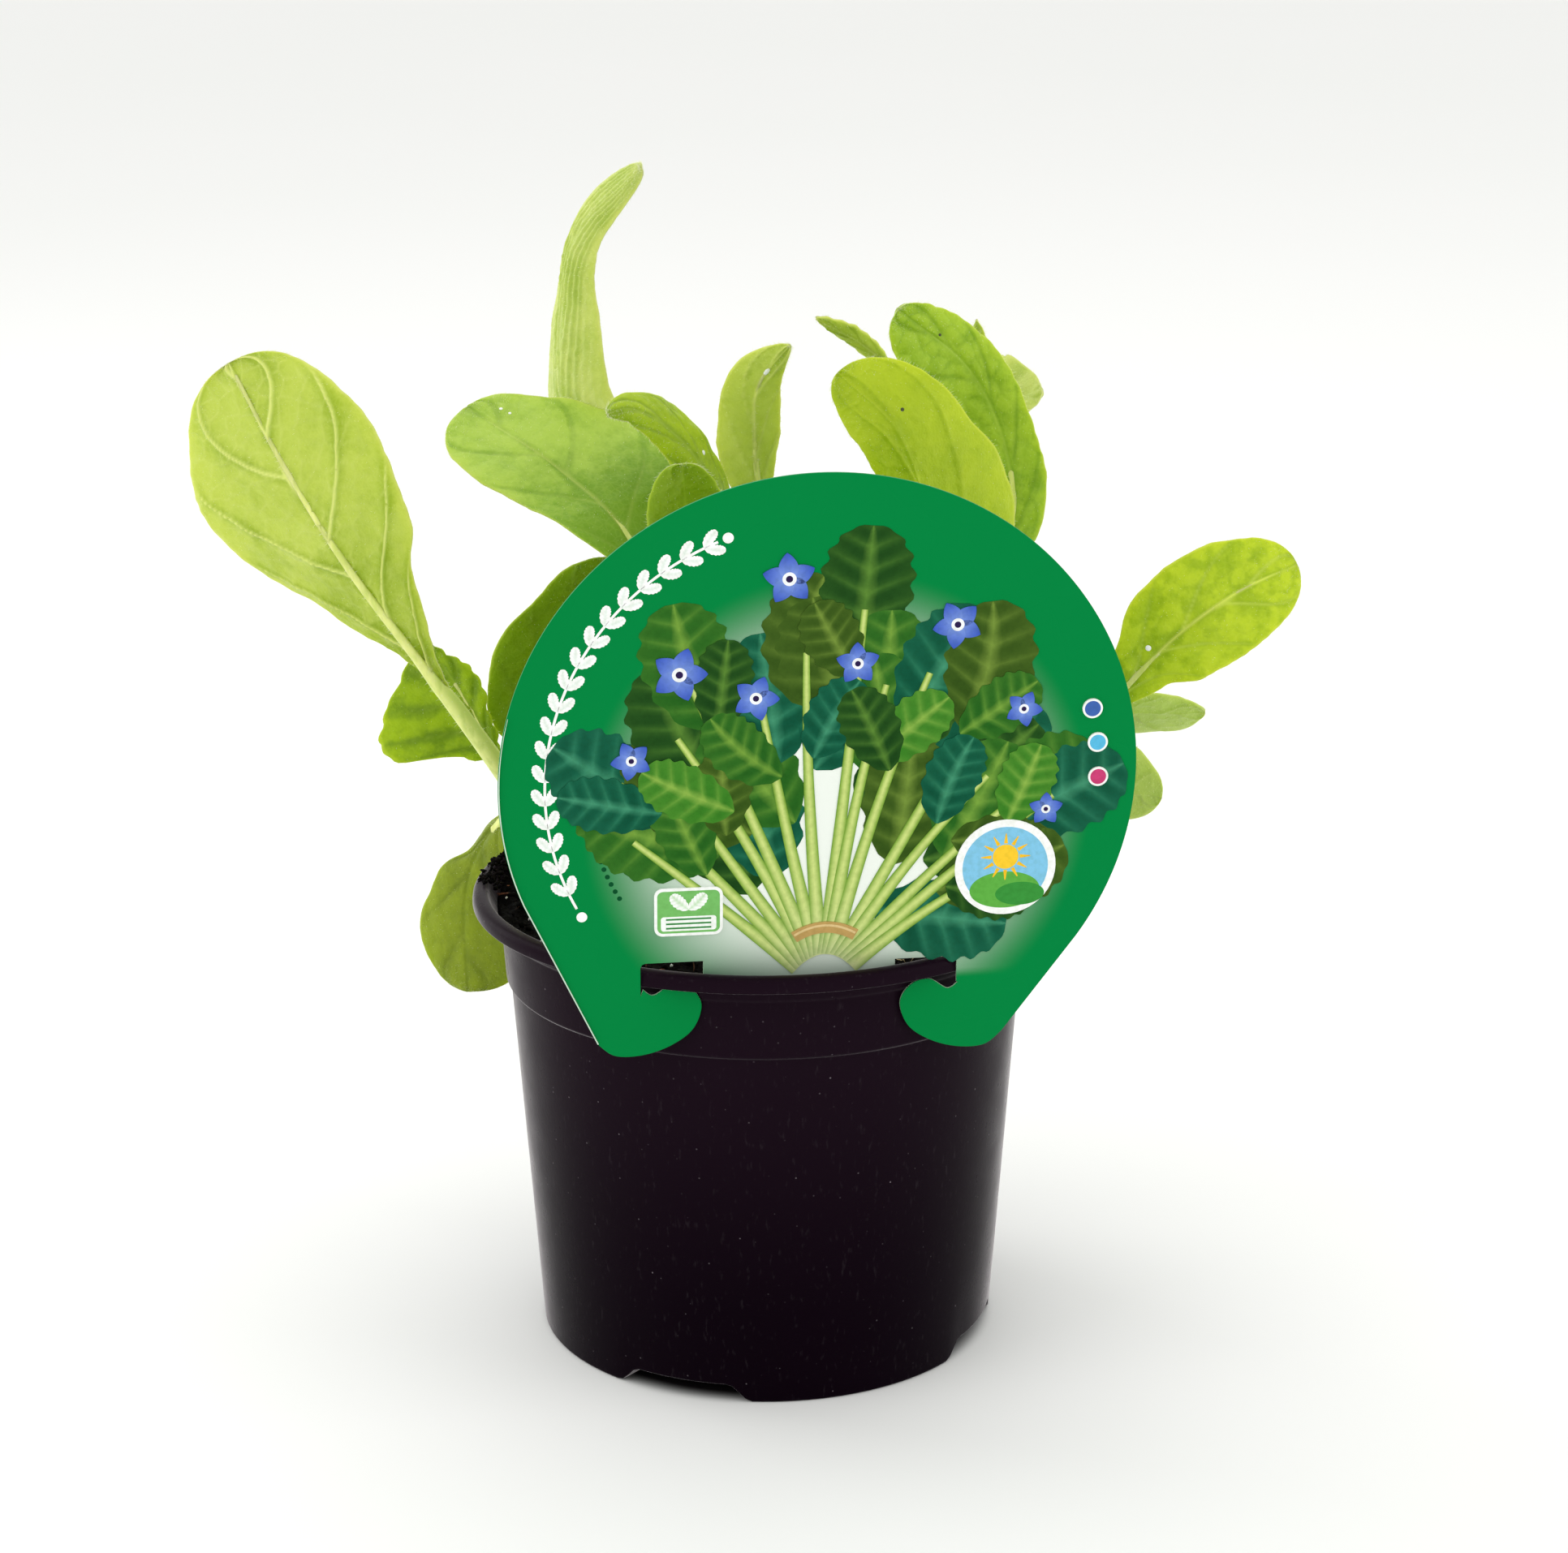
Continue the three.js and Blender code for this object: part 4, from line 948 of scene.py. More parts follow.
def stalk(name, leaf):
    """The leaf stalk and, below the blade, its midrib: an oval carried along the route, with a
    groove on its upper side, flared where it leaves the stem."""
    reach = 0.965 * smooth_step(0.1, 0.6, leaf["rib"])
    rows = int(np.clip(1.3 * leaf["curve"]["length"], *STALK_ROWS))
    share = np.linspace(0, 1, rows) ** 0.9
    share = share * mix(leaf["base"], 1, max(reach, 0.15))
    slopes = unit(on_route(leaf["curve"], share, "slopes"))
    zero = np.zeros(1)
    _, side0, _ = blade_frame(leaf, zero)
    across, up = carried_frame(slopes[::-1], side0[0])
    across = across[::-1]
    up = -up[::-1]
    s = np.clip((share - leaf["base"]) / (1 - leaf["base"]), 0, 1)
    _, _, blade_up = blade_frame(leaf, s)
    on_blade = smooth_step(0.0, 0.1, s)[:, None]
    sign = np.sign(np.sum(up * blade_up, axis=1, keepdims=True))
    up = unit(mix(up * np.where(sign == 0, 1, sign), blade_up, on_blade))
    across = unit(np.cross(slopes, up))

    root, neck = leaf["stalk"]
    radius = mix(root, neck, np.minimum(share / leaf["base"], 1))
    radius = radius * mix(1, 0.22, s**0.8)
    distance = share * leaf["curve"]["length"]
    radius = radius + 0.5 * np.exp(-distance / 3.5)
    width = radius * mix(1.22, 0.95, smooth_step(0, 0.2, s))
    drop = radius * 0.35 * smooth_step(0.0, 0.08, s)
    centre = on_route(leaf["curve"], share) - up * drop[:, None]
    angle = np.linspace(2 * math.pi, 0, STALK_SIDES, endpoint=False)[None, :]
    groove = 1 - 0.22 * np.exp(-((angle - math.pi / 2) / 0.5) ** 2)
    ring_x = width[:, None] * np.cos(angle)
    height = radius * mix(1, 0.55, smooth_step(0, 0.15, s))
    ring_y = height[:, None] * np.sin(angle) * groove
    tip = centre[-1] + slopes[-1] * radius[-1]
    piece, surface = tube(name, centre, across, up, ring_x, ring_y, tip)
    side = np.abs(np.cos(angle)) ** 3 * (1 - on_blade)
    give(piece, "side", np.concatenate([side.ravel() * 0.7, [0, 0]]))
    return piece, surface


def stem(name, foot, top, radius):
    """The stem: a round section carried from the soil to its top, a little ribbed, swollen at
    the soil and rounded off at its end."""
    curve = route([(*foot, STEM_FOOT), (*foot, STEM_STRAIGHT), (*foot, STEM_BEND), top])
    share = np.linspace(0, 1, STEM_ROWS)
    centre = on_route(curve, share)
    slopes = unit(on_route(curve, share, "slopes"))
    across, up = carried_frame(slopes, (1, 0, 0))
    size = radius * mix(1, 0.95, share)
    size = size * np.sqrt(np.clip(1 - smooth_step(0.9, 1.0, share) * 0.8, 0.05, 1))
    size = size + 0.35 * np.exp(-((centre[:, 2] - SOIL_TOP + 1) / 3) ** 2)
    angle = turns(STEM_SIDES)
    ribbed = size[:, None] * (1 + 0.035 * np.cos(7 * angle) + 0.02 * np.sin(3 * angle))
    tip = centre[-1] + slopes[-1] * size[-1] * 0.4
    piece, surface = tube(name, centre, across, up, ribbed * np.cos(angle),
                          ribbed * np.sin(angle), tip)
    give(piece, "side", np.full(len(piece.data.vertices), 0.25))
    return piece, surface


# Hairs

def spikes(roots, directions, lengths, radius):
    """Slim three-sided spikes: three root corners and a point each."""
    directions = unit(directions)
    helper = np.where(np.abs(directions[:, 2:3]) < 0.9, (0, 0, 1), (1, 0, 0))
    x = unit(np.cross(directions, helper))
    y = np.cross(directions, x)
    corners = []
    for k in range(3):
        turn = 2 * math.pi * k / 3
        corners.append(roots + radius * (x * math.cos(turn) + y * math.sin(turn)))
    tips = roots + directions * lengths[:, None]
    points = np.stack([*corners, tips], axis=1).reshape(-1, 3)
    first = 4 * np.arange(len(roots))[:, None]
    faces = first[:, :, None] + np.array([[0, 1, 3], [1, 2, 3], [2, 0, 3], [0, 2, 1]])[None]
    return points, faces.reshape(-1, 3)


def blade_hairs(surfaces, rng):
    """Bristles on a blade: many along its edge, fewer on its faces."""
    upper = surfaces["upper"]
    rows, columns, _ = upper.shape
    rough = rng.normal(0, 0.28, (2 * rows, 3))
    sides = np.concatenate([-surfaces["side"][:, 0], surfaces["side"][:, -1]])
    edge = np.concatenate([upper[:, 0], upper[:, -1]])
    lengths = rng.uniform(0.35, 0.95, len(edge))
    keep = rng.uniform(0, 1, len(edge)) < 0.75
    found = [(edge[keep], (sides + rough)[keep], lengths[keep])]
    area = rows * columns * CELL**2 * 0.6
    for face, sign in (("upper", 1), ("lower", -1)):
        count = int(area * 0.55)
        row = rng.integers(1, rows - 1, count)
        column = rng.integers(1, columns - 1, count)
        directions = sign * surfaces["normal"][row, column] + rng.normal(0, 0.35, (count, 3))
        lengths = rng.uniform(0.2, 0.5, count)
        found.append((surfaces[face][row, column], directions, lengths))
    return found


def tube_hairs(surface, rng, density):
    """Bristles all over a stalk or stem, standing out from it."""
    points = surface["points"]
    rings, sides, _ = points.shape
    length = np.linalg.norm(np.diff(points[:, 0], axis=0), axis=1).sum()
    count = int(length * density)
    row = rng.integers(0, rings, count)
    side = rng.integers(0, sides, count)
    directions = surface["outward"][row, side] + rng.normal(0, 0.25, (count, 3))
    return [(points[row, side], directions, rng.uniform(0.35, 1.0, count))]


def hairs(name, found):
    """All bristles of a seedling as one piece."""
    roots = np.concatenate([f[0] for f in found])
    directions = unit(np.concatenate([f[1] for f in found]))
    lengths = np.concatenate([f[2] for f in found])
    points, faces = spikes(roots - directions * HAIR_SINK, directions, lengths, HAIR_RADIUS)
    return make_mesh(name, points, [faces], smooth=False)


# Specks and buds

def blade_spot(surfaces, face, s, u, radius, long=1.0):
    """A speck's place on one face of a blade, from the shares along and across its grid."""
    points = surfaces[face]
    rows, columns, _ = points.shape
    i = int(s * (rows - 2))
    j = int((u + 1) / 2 * (columns - 1))
    along = unit(points[i + 1, j] - points[i, j])
    normal = surfaces["normal"][i, j]
    normal = unit(normal - along * np.dot(normal, along))
    return points[i, j], normal, along, radius, long


def specks(name, places):
    """Small flat drops and grains on the blades: flattened balls. A place is its point, the
    blade's normal there, the direction along the blade, its radius and its length over its
    width."""
    points = []
    faces = []
    count = 0
    turn = turns(SPECK_SIDES)
    rise = np.linspace(-1.3, 1.3, SPECK_RINGS)[:, None]
    for centre, normal, along, radius, long in places:
        across = np.cross(along, normal)
        ring = centre + radius * (
            across * (np.cos(rise) * np.cos(turn))[..., None]
            + along * (long * np.cos(rise) * np.sin(turn))[..., None]
            + normal * (0.3 * np.sin(rise) * np.ones_like(turn))[..., None])
        ends = centre + np.array([[-1.0], [1.0]]) * normal * 0.3 * radius
        points += [ring.reshape(-1, 3), ends]
        faces += tube_faces(SPECK_RINGS, SPECK_SIDES, count)
        count += SPECK_RINGS * SPECK_SIDES + 2
    return make_mesh(name, np.concatenate(points), faces)


def speck_material(name, colour):
    """Wet grains: nearly white, or dark."""
    shader = Shader(name)
    pale = tuple(min(c + 8, 255) for c in colour)
    shader.set(Base_Color=shader.blend(shader.noise(0.8), colour, pale), Roughness=0.3)
    return shader.material


def bud_leaves(top, salt):
    """The young leaves round a stem's growing point: three, close and upright."""
    leaves = {}
    for k in range(3):
        turn = 2 * math.pi * (k / 3 + jitter(k, salt, 11) * 0.2 + salt * 0.13)
        out = np.array([math.cos(turn), math.sin(turn), 0])
        tall = 9 + 5 * jitter(k, salt, 13)
        foot = np.array(top, float) - (0, 0, 1.5)
        path = [foot, foot + out * 1.4 + (0, 0, 0.3 * tall), foot + out * 2.6 + (0, 0, 0.65 * tall),
                foot + out * 4.6 + (0, 0, tall)]
        leaves[f"bud{k + 1}"] = {
            "path": path, "base": 0.3, "width": 0.42 * tall, "widest": 0.45, "tip": 0.6,
            "face": tuple(-out + (0, 0, 0.4)), "face_tip": tuple(-out + (0, 0, 0.8)),
            "cup": (0.5, 0.4), "quilt": 0.15, "ruffle": 0.2, "stalk": (0.6, 0.4),
            "veins": 4, "arch": 0.25, "pucker": 0.1, "notch": 0.1, "tint": "lime",
        }
    return leaves


def plant_seedlings():
    """Stems, stalks, blades, buds and hairs of all five seedlings."""
    rng = np.random.default_rng(7)
    blades = {tint: blade_material("blade_" + tint, tint, MOTTLED.get(tint, PLAIN_MOTTLES))
              for tint in TINTS}
    stalks = stalk_material()
    bristles = hair_material()
    salt = 1
    marked = []
    for node, seedling in SEEDLINGS.items():
        short = node.replace("seedling_", "")
        found = []
        piece, surface = stem("stem_" + short, seedling["foot"], seedling["top"],
                              seedling["radius"])
        dress(piece, "leaf", node, stalks)
        found += tube_hairs(surface, rng, 6)
        leaves = {key: LEAVES[key] for key in seedling["leaves"]}
        for key, leaf in bud_leaves(seedling["top"], salt).items():
            leaves[f"{short}_{key}"] = leaf
        for key, entry in leaves.items():
            leaf = {**LEAF_DEFAULTS, "face_tip": entry["face"], **entry}
            leaf["curve"] = route(leaf["path"])
            piece, surfaces = blade("blade_" + key, leaf, salt)
            dress(piece, "leaf", node, blades[leaf["tint"]])
            marked += [(kind, blade_spot(surfaces, *spot)) for kind, *spot in leaf["marks"]]
            found += blade_hairs(surfaces, rng)
            piece, surface = stalk("stalk_" + key, leaf)
            dress(piece, "leaf", node, stalks)
            found += tube_hairs(surface, rng, 5)
            salt += 1
        dress(hairs("hairs_" + short, found), "leaf", node, bristles)
    for name, colour in SPECK_TINTS.items():
        places = [place for kind, place in marked if kind == name]
        piece = specks("specks_" + name, places)
        dress(piece, "leaf", None, speck_material("speck_" + name, colour))


plant_seedlings()


# Pot

def rounded(section):
    """A section's corners, each swapped for a short curve that starts and ends its own rounding
    away from it, with long straight stretches split."""
    corners = np.array([(r, z) for r, z, _ in section], float)
    line = [corners[0]]
    for k in range(1, len(section) - 1):
        before, corner, after = corners[k - 1:k + 2]
        size = section[k][2]
        start = corner + (before - corner) * min(size / math.dist(before, corner), 0.7)
        end = corner + (after - corner) * min(size / math.dist(after, corner), 0.7)
        for t in np.linspace(0, 1, 6):
            line.append(start * (1 - t) ** 2 + 2 * corner * t * (1 - t) + end * t**2)
    line.append(corners[-1])
    dense = [line[0]]
    for before, after in zip(line, line[1:]):
        gap = math.dist(before, after)
        if gap > 1.0:
            inner = np.linspace(0, 1, int(gap / WALL_STEP) + 2)[1:-1]
            shares = [GUARD / gap, *inner, 1 - GUARD / gap]
            dense += [before + (after - before) * share for share in shares]
        dense.append(after)
    return np.array(dense)


def foot_lift(angle, radius, height):
    """How far a notch raises a point of the pot's foot: its whole height between its ramps and
    outside its inner radius, and less for points higher up the wall."""
    lift = np.zeros(np.broadcast(angle, radius).shape)
    for azimuth in NOTCHES:
        off = np.degrees(np.abs((angle - math.radians(azimuth - 90) + math.pi) % (2 * math.pi)
                                - math.pi))
        lift = lift + smooth_step(NOTCH_HALF_ANGLE + NOTCH_RAMP, NOTCH_HALF_ANGLE, off)
    lift = lift * smooth_step(NOTCH_INNER_RADIUS - NOTCH_LIP, NOTCH_INNER_RADIUS, radius)
    return NOTCH_HEIGHT * lift * np.clip(1 - height / NOTCH_REACH, 0, 1)


def cut(piece, cutters):
    """Cuts other pieces out of a piece and removes them."""
    for cutter in cutters:
        modifier = piece.modifiers.new("cut", "BOOLEAN")
        modifier.object = cutter
        modifier.solver = "EXACT"
    depsgraph = bpy.context.evaluated_depsgraph_get()
    mesh = bpy.data.meshes.new_from_object(piece.evaluated_get(depsgraph))
    piece.modifiers.clear()
    piece.data = mesh
    for cutter in cutters:
        bpy.data.objects.remove(cutter)


def plastic():
    """Moulded black plastic with a purple cast, with light painted in as a paler tint towards its
    lip: a faint grain, thin upright scuffs and specks of pale dust."""
    shader = Shader("pot plastic")
    specks = shader.ramp(shader.cell(1.9), 0.06, 0.1, 1.0, 0.0)
    chosen = shader.ramp(shader.noise(2.2, 1.0), 0.46, 0.75)
    scuffs = shader.ramp(shader.noise(0.7, 2.0, stretch=(1, 1, 0.3)), 0.6, 0.78)
    dust = shader.sum("MULTIPLY", specks, chosen)
    dust = shader.sum("MAXIMUM", dust, shader.sum("MULTIPLY", scuffs, 0.06))
    # Painted light: the tint turns paler up the wall towards the lip.
    painted_light = shader.ramp(shader.height(), PAINTED_LIGHT_HEIGHTS[0] * MM, PAINTED_LIGHT_HEIGHTS[1] * MM)
    colour = shader.blend(shader.noise(30.0, 3.0), POT_TINTS["low"], POT_TINTS["low_patch"])
    colour = shader.blend(painted_light, colour, POT_TINTS["high"])
    shader.set(
        Base_Color=shader.blend(shader.sum("MULTIPLY", dust, 0.42), colour, POT_TINTS["dust"]),
        Roughness=shader.ramp(shader.noise(7.0, 4.0), 0.3, 0.7, 0.26, 0.36),
        Specular_IOR_Level=0.025,
        Sheen_Weight=0.8,
        Sheen_Roughness=0.22,
        Sheen_Tint=(1.0, 0.93, 0.97, 1.0),
        Normal=shader.bump(shader.noise(0.7, 3.0), 0.02, 0.6),
    )
    return shader.material


def pot():
    """The pot: its rounded section turned about Z, with its foot raised at the notches, and
    four drain holes cut through."""
    section = rounded(POT_SECTION)
    angle = turns(POT_SIDES)
    radius = section[1:-1, 0][:, None] * np.ones_like(angle)
    height = section[1:-1, 1][:, None] * np.ones_like(angle)
    height = height + foot_lift(angle, radius, height)
    rings = around(radius, angle, height)
    piece = ring_body("pot", rings, (0, 0, section[0, 1]), (0, 0, section[-1, 1]))
    ring = around(DRAIN_RADIUS, turns(DRAIN_SIDES), 0)
    drills = []
    for azimuth in NOTCHES:
        centre = around(DRAIN_DISTANCE, math.radians(azimuth - 90), 0)
        low, high = (centre + (0, 0, level) for level in DRILL)
        drills.append(ring_body("drill", np.stack([low + ring, high + ring]), low, high))
    cut(piece, drills)
    piece.data.set_sharp_from_angle(angle=math.radians(POT_CREASE))
    dress(piece, "pot", "pot", plastic())


pot()


# Soil

def soil_height(x, y):
    """Height of the soil: a low crown, a heap at the back left, three crossed waves, and the
    tops of small crumbs."""
    coarse = np.sin(x * 0.31 + 1.7 * np.sin(y * 0.17)) * np.sin(y * 0.37 + 0.6)
    medium = np.sin(x * 0.83 + y * 0.41) * np.cos(y * 0.91 - x * 0.23)
    fine = np.sin(x * 2.1 - y * 1.3) * np.sin(y * 1.9 + x * 0.7)
    share = np.hypot(x, y) / SOIL_RADIUS
    crown = SOIL_EDGE + SOIL_CROWN * (1 - share**2)
    heap = (x - SOIL_HEAP[0]) ** 2 + (y - SOIL_HEAP[1]) ** 2
    crown = crown + HEAP_HEIGHT * np.exp(-heap / HEAP_REACH**2)
    crumbs = np.zeros_like(x)
    for size, salt in ((2.3, 21), (1.0, 22)):
        first, _, kind = cells(x / size, y / size, salt)
        crumbs = crumbs + 0.34 * size * kind * (1 - np.clip(first * 1.4, 0, 1) ** 2)
    return crown + 0.8 * (0.5 * coarse + 0.35 * medium + 0.25 * fine) + crumbs - 0.3


def on_soil(x, y):
    """Points on the soil's top."""
    return np.stack([x, y, soil_height(x, y)], axis=-1)


def peat():
    """Dark moist peat: black-brown, browner in patches, with a faint damp gleam."""
    shader = Shader("peat")
    grain = shader.ramp(shader.noise(0.9, 5.0, roughness=0.7), 0.35, 0.75)
    patches = shader.ramp(shader.noise(6.0, 3.0), 0.4, 0.7)
    colour = shader.blend(grain, PEAT_TINTS["dark"], PEAT_TINTS["brown"])
    colour = shader.blend(shader.sum("MULTIPLY", patches, 0.5), colour, PEAT_TINTS["patch"])
    shader.set(
        Base_Color=colour,
        Roughness=shader.ramp(grain, 0, 1, 0.55, 0.95),
        Specular_IOR_Level=0.03,
        Normal=shader.bump(shader.noise(0.5, 4.0), 0.3),
    )
    return shader.material


def bits_material(name):
    """Crumbs of one kind, each a shade between its two tints."""
    shader = Shader(name)
    one, other = BIT_TINTS[name]
    shader.set(
        Base_Color=shader.blend(shader.ramp(shader.noise(1.6, 2.0), 0.35, 0.65), one, other),
        Roughness=0.8,
        Specular_IOR_Level=0.05,
        Normal=shader.bump(shader.noise(0.4, 3.0), 0.12),
    )
    return shader.material


def scatter(rng, count, reach=SOIL_RADIUS - 0.9):
    """Random places on the soil, even over its area, and their height."""
    distance = reach * np.sqrt(rng.uniform(0, 1, count))
    return on_soil(*polar(distance, rng.uniform(0, 2 * math.pi, count)).T)


def spill(rng, count):
    """Random places on the lip, where soil has been brushed over it at the back: most in the
    middle of that stretch, where they lie on one another."""
    angle = np.radians(rng.uniform(100, 182, count))
    distance = rng.uniform(LIP_RADII[0], LIP_RADII[-1], count)
    heap = 1.3 * rng.uniform(0, 1, count) * np.exp(-((distance - 48.5) / 2.2) ** 2)
    height = np.interp(distance, LIP_RADII, LIP_HEIGHTS) + heap
    return around(distance, angle, height)


def crumbs(name, rng, centre, sizes, flat=0.75, long=1.0, rings=4, sides=6):
    """Small lumps at given places: each a rough ball of a few rings, its own size and turn."""
    count = len(centre)
    size = rng.uniform(0, 1, count) ** 2.2 * (sizes[1] - sizes[0]) + sizes[0]
    rise = np.linspace(0, math.pi, rings + 2)[1:-1, None]
    ball = around(np.sin(rise), turns(sides), np.cos(rise)).reshape(-1, 3)
    ball = np.concatenate([ball, [[0, 0, 1], [0, 0, -1]]])
    rough = rng.uniform(0.72, 1.2, (count, len(ball), 1))
    stretch = np.stack([long * rng.uniform(0.8, 1.3, count), rng.uniform(0.6, 1, count),
                        flat * rng.uniform(0.6, 1, count)], axis=1)
    points = ball[None] * rough * stretch[:, None, :] * size[:, None, None]
    turn = rng.uniform(0, 2 * math.pi, (count, 1))
    tilt = rng.normal(0, 0.5, (count, 1))
    x, z = spin(points[..., 0], points[..., 2], tilt)
    x, y = spin(x, points[..., 1], turn)
    points = np.stack([x, y, z], axis=2) + centre[:, None, :]
    points = points + np.array([0, 0, 0.25]) * size[:, None, None]
    walls, top, bottom = tube_faces(rings, sides)
    first = (np.arange(count) * len(ball))[:, None, None]
    faces = [(first + f[None]).reshape(-1, f.shape[1])[:, ::-1] for f in (walls, top, bottom)]
    return make_mesh(name, points, faces)


def fibres(name, rng, count, lengths, radius):
    """Thin bent roots and straws that lie on the soil: a short tube along a random arc each."""
    steps = 7
    sides = 4
    centre = scatter(rng, count, SOIL_RADIUS - 4)
    length = rng.uniform(*lengths, count)
    heading = rng.uniform(0, 2 * math.pi, count)
    bend = rng.normal(0, 0.5, count)
    share = np.linspace(-0.5, 0.5, steps)
    angle = heading[:, None] + bend[:, None] * share
    x = centre[:, :1] + length[:, None] * share * np.cos(angle)
    y = centre[:, 1:2] + length[:, None] * share * np.sin(angle)
    reach = np.maximum(np.hypot(x, y) / (SOIL_RADIUS - 0.8), 1)
    x = x / reach
    y = y / reach
    line = on_soil(x, y)
    line[..., 2] += rng.uniform(0.1, 0.9, (count, 1)) * (1 - 3 * share**2)
    slopes = unit(np.gradient(line, axis=1))
    side = unit(np.cross(slopes, (0, 0, 1)))
    up = np.cross(side, slopes)
    thin = (radius * rng.uniform(0.6, 1.3, count))[:, None] * (1 - 0.7 * (2 * share) ** 4)
    around = np.linspace(2 * math.pi, 0, sides, endpoint=False)
    ring = side[:, :, None, :] * np.cos(around)[:, None]
    ring = ring + up[:, :, None, :] * np.sin(around)[:, None]
    points = line[:, :, None, :] + ring * thin[:, :, None, None]
    ends = np.stack([line[:, 0], line[:, -1]], axis=1)
    every = np.concatenate([points.reshape(count, -1, 3), ends], axis=1)
    first = (np.arange(count) * every.shape[1])[:, None, None]
    faces = [(first + f[None]).reshape(-1, f.shape[1]) for f in tube_faces(steps, sides)]
    return make_mesh(name, every, faces)


def soil():
    """The soil: a closed body whose top follows its height, with loose crumbs, bark, pale
    grains and fibres on it."""
    share = np.linspace(0, 1, SOIL_RINGS)[1:][::-1][:, None]
    angle = turns(SOIL_SIDES)
    top = on_soil(SOIL_RADIUS * share * np.cos(angle), SOIL_RADIUS * share * np.sin(angle))
    radius, level = (np.array(values)[:, None] for values in zip(*SOIL_WALL))
    rings = np.concatenate([around(radius, angle, level), top])
    middle = on_soil(np.zeros(1), np.zeros(1))[0]
    piece = ring_body("soil", rings, (0, 0, SOIL_FLOOR), middle)
    dress(piece, "soil", "soil", peat())
    rng = np.random.default_rng(11)
    bits = {name: bits_material(name) for name in BIT_TINTS}
    loose = [
        (crumbs("soil_crumbs", rng, scatter(rng, 1500), (0.2, 1.0), rings=3, sides=5), "crumb"),
        (crumbs("soil_spill", rng, spill(rng, 600), (0.2, 0.75), rings=3, sides=5), "crumb"),
        (crumbs("soil_bark", rng, scatter(rng, 240), (0.3, 1.0), flat=0.4, long=1.7), "bark"),
        (crumbs("soil_grains", rng, scatter(rng, 200), (0.15, 0.5), rings=3, sides=6), "perlite"),
        (fibres("soil_straws", rng, 220, (1.2, 4.2), 0.1), "straw"),
        (fibres("soil_roots", rng, 110, (4, 11), 0.1), "root"),
    ]
    for piece, kind in loose:
        dress(piece, "soil", "soil", bits[kind])


soil()


# Label

def on_label(x, y, out):
    """A point of the label in the pot's frame, from its place across and up from the disc's
    centre and its distance out of the card's middle."""
    lean = math.radians(LABEL["lean"])
    turn = math.radians(LABEL["turn"])
    x = x + LABEL["centre"][0]
    y = y + LABEL["centre"][1]
    height, inward = spin(y, out, lean)
    x, y = spin(x, -inward - LABEL["distance"], turn)
    return np.stack([x, y, height + POT_HEIGHT], axis=-1)


def arc(radius, start, end, steps):
    """Points of an arc about the disc's centre, from one angle to another in degrees."""
    return polar(radius, np.radians(np.linspace(start, end, steps)))


def hook(side):
    """One hook with its slot, from the flank round the head to the tongue's corner."""
    corners = np.array(HOOK[::-1], float)
    corners = np.concatenate([corners[:1], corners, corners[-1:]])
    head = []
    for k in range(1, len(corners) - 2):
        for t in np.linspace(0, 1, 8, endpoint=False):
            head.append(cubic(corners[k - 1:k + 3], t))
    outer = LABEL["slot_outer"]
    top = LABEL["slot_top"] + LABEL["left_rise"] * (side < 0)
    slot = [(outer, HOOK[0][1]), (outer, top - 0.8), (outer - 0.25, top - 0.25), (outer - 0.8, top),
            (LABEL["slot_inner"], top), (LABEL["slot_inner"], LABEL["tongue"])]
    head = np.array(head) + (side < 0) * np.array([-LABEL["left_shift"], LABEL["left_rise"]])
    points = np.array([*head, *slot])
    return np.stack([LABEL["hook_centre"] + side * points[:, 0], points[:, 1]], axis=1)


def card_outline():
    """The card's outline, counter-clockwise seen from its face."""
    disc = arc(LABEL["radius"], LABEL["flank_right"], LABEL["flank_left"], 150)
    return np.concatenate([disc, hook(-1), hook(1)[::-1]])


def inset(outline, amount):
    """An outline moved inwards along the mean of its edges' normals at each corner."""
    edge = unit(np.roll(outline, -1, axis=0) - outline)
    tangent = unit(edge + np.roll(edge, 1, axis=0))
    return outline + amount * np.stack([-tangent[:, 1], tangent[:, 0]], axis=1)


def card_print():
    """The printed face: green, with a soft pale glow round its middle, under a thin gloss."""
    shader = Shader("label print")
    distance = shader.node("ShaderNodeVectorMath", operation="DISTANCE")
    shader.feed(distance.inputs[0], shader.place())
    glow = on_label(*GLOW_CENTRE, LABEL["thickness"] / 2) * MM
    distance.inputs[1].default_value = tuple(glow)
    near, far = GLOW_REACH
    share = shader.ramp(distance.outputs["Value"], near * MM, far * MM, 1.0, 0.0)
    above = shader.ramp(shader.height(), HOOK_GREEN * MM, (HOOK_GREEN + 2) * MM)
    share = shader.sum("MULTIPLY", share, above)
    shader.set(
        Base_Color=shader.blend(share, CARD_TINTS["green"], CARD_TINTS["glow"]),
        Roughness=shader.ramp(shader.noise(14.0, 2.0), 0.3, 0.7, 0.24, 0.3),
        Specular_IOR_Level=0.03,
    )
    return shader.material


def card_edge():
    """The cut edge of the card: green, worn pale towards its foot."""
    shader = Shader("label edge")
    low = shader.ramp(shader.height(), CARD_WORN[0] * MM, CARD_WORN[1] * MM, 1.0, 0.0)
    worn = shader.blend(shader.noise(2.0), CARD_TINTS["worn"], CARD_TINTS["bare"])
    shader.set(Base_Color=shader.blend(low, CARD_TINTS["edge"], worn), Roughness=0.6)
    return shader.material


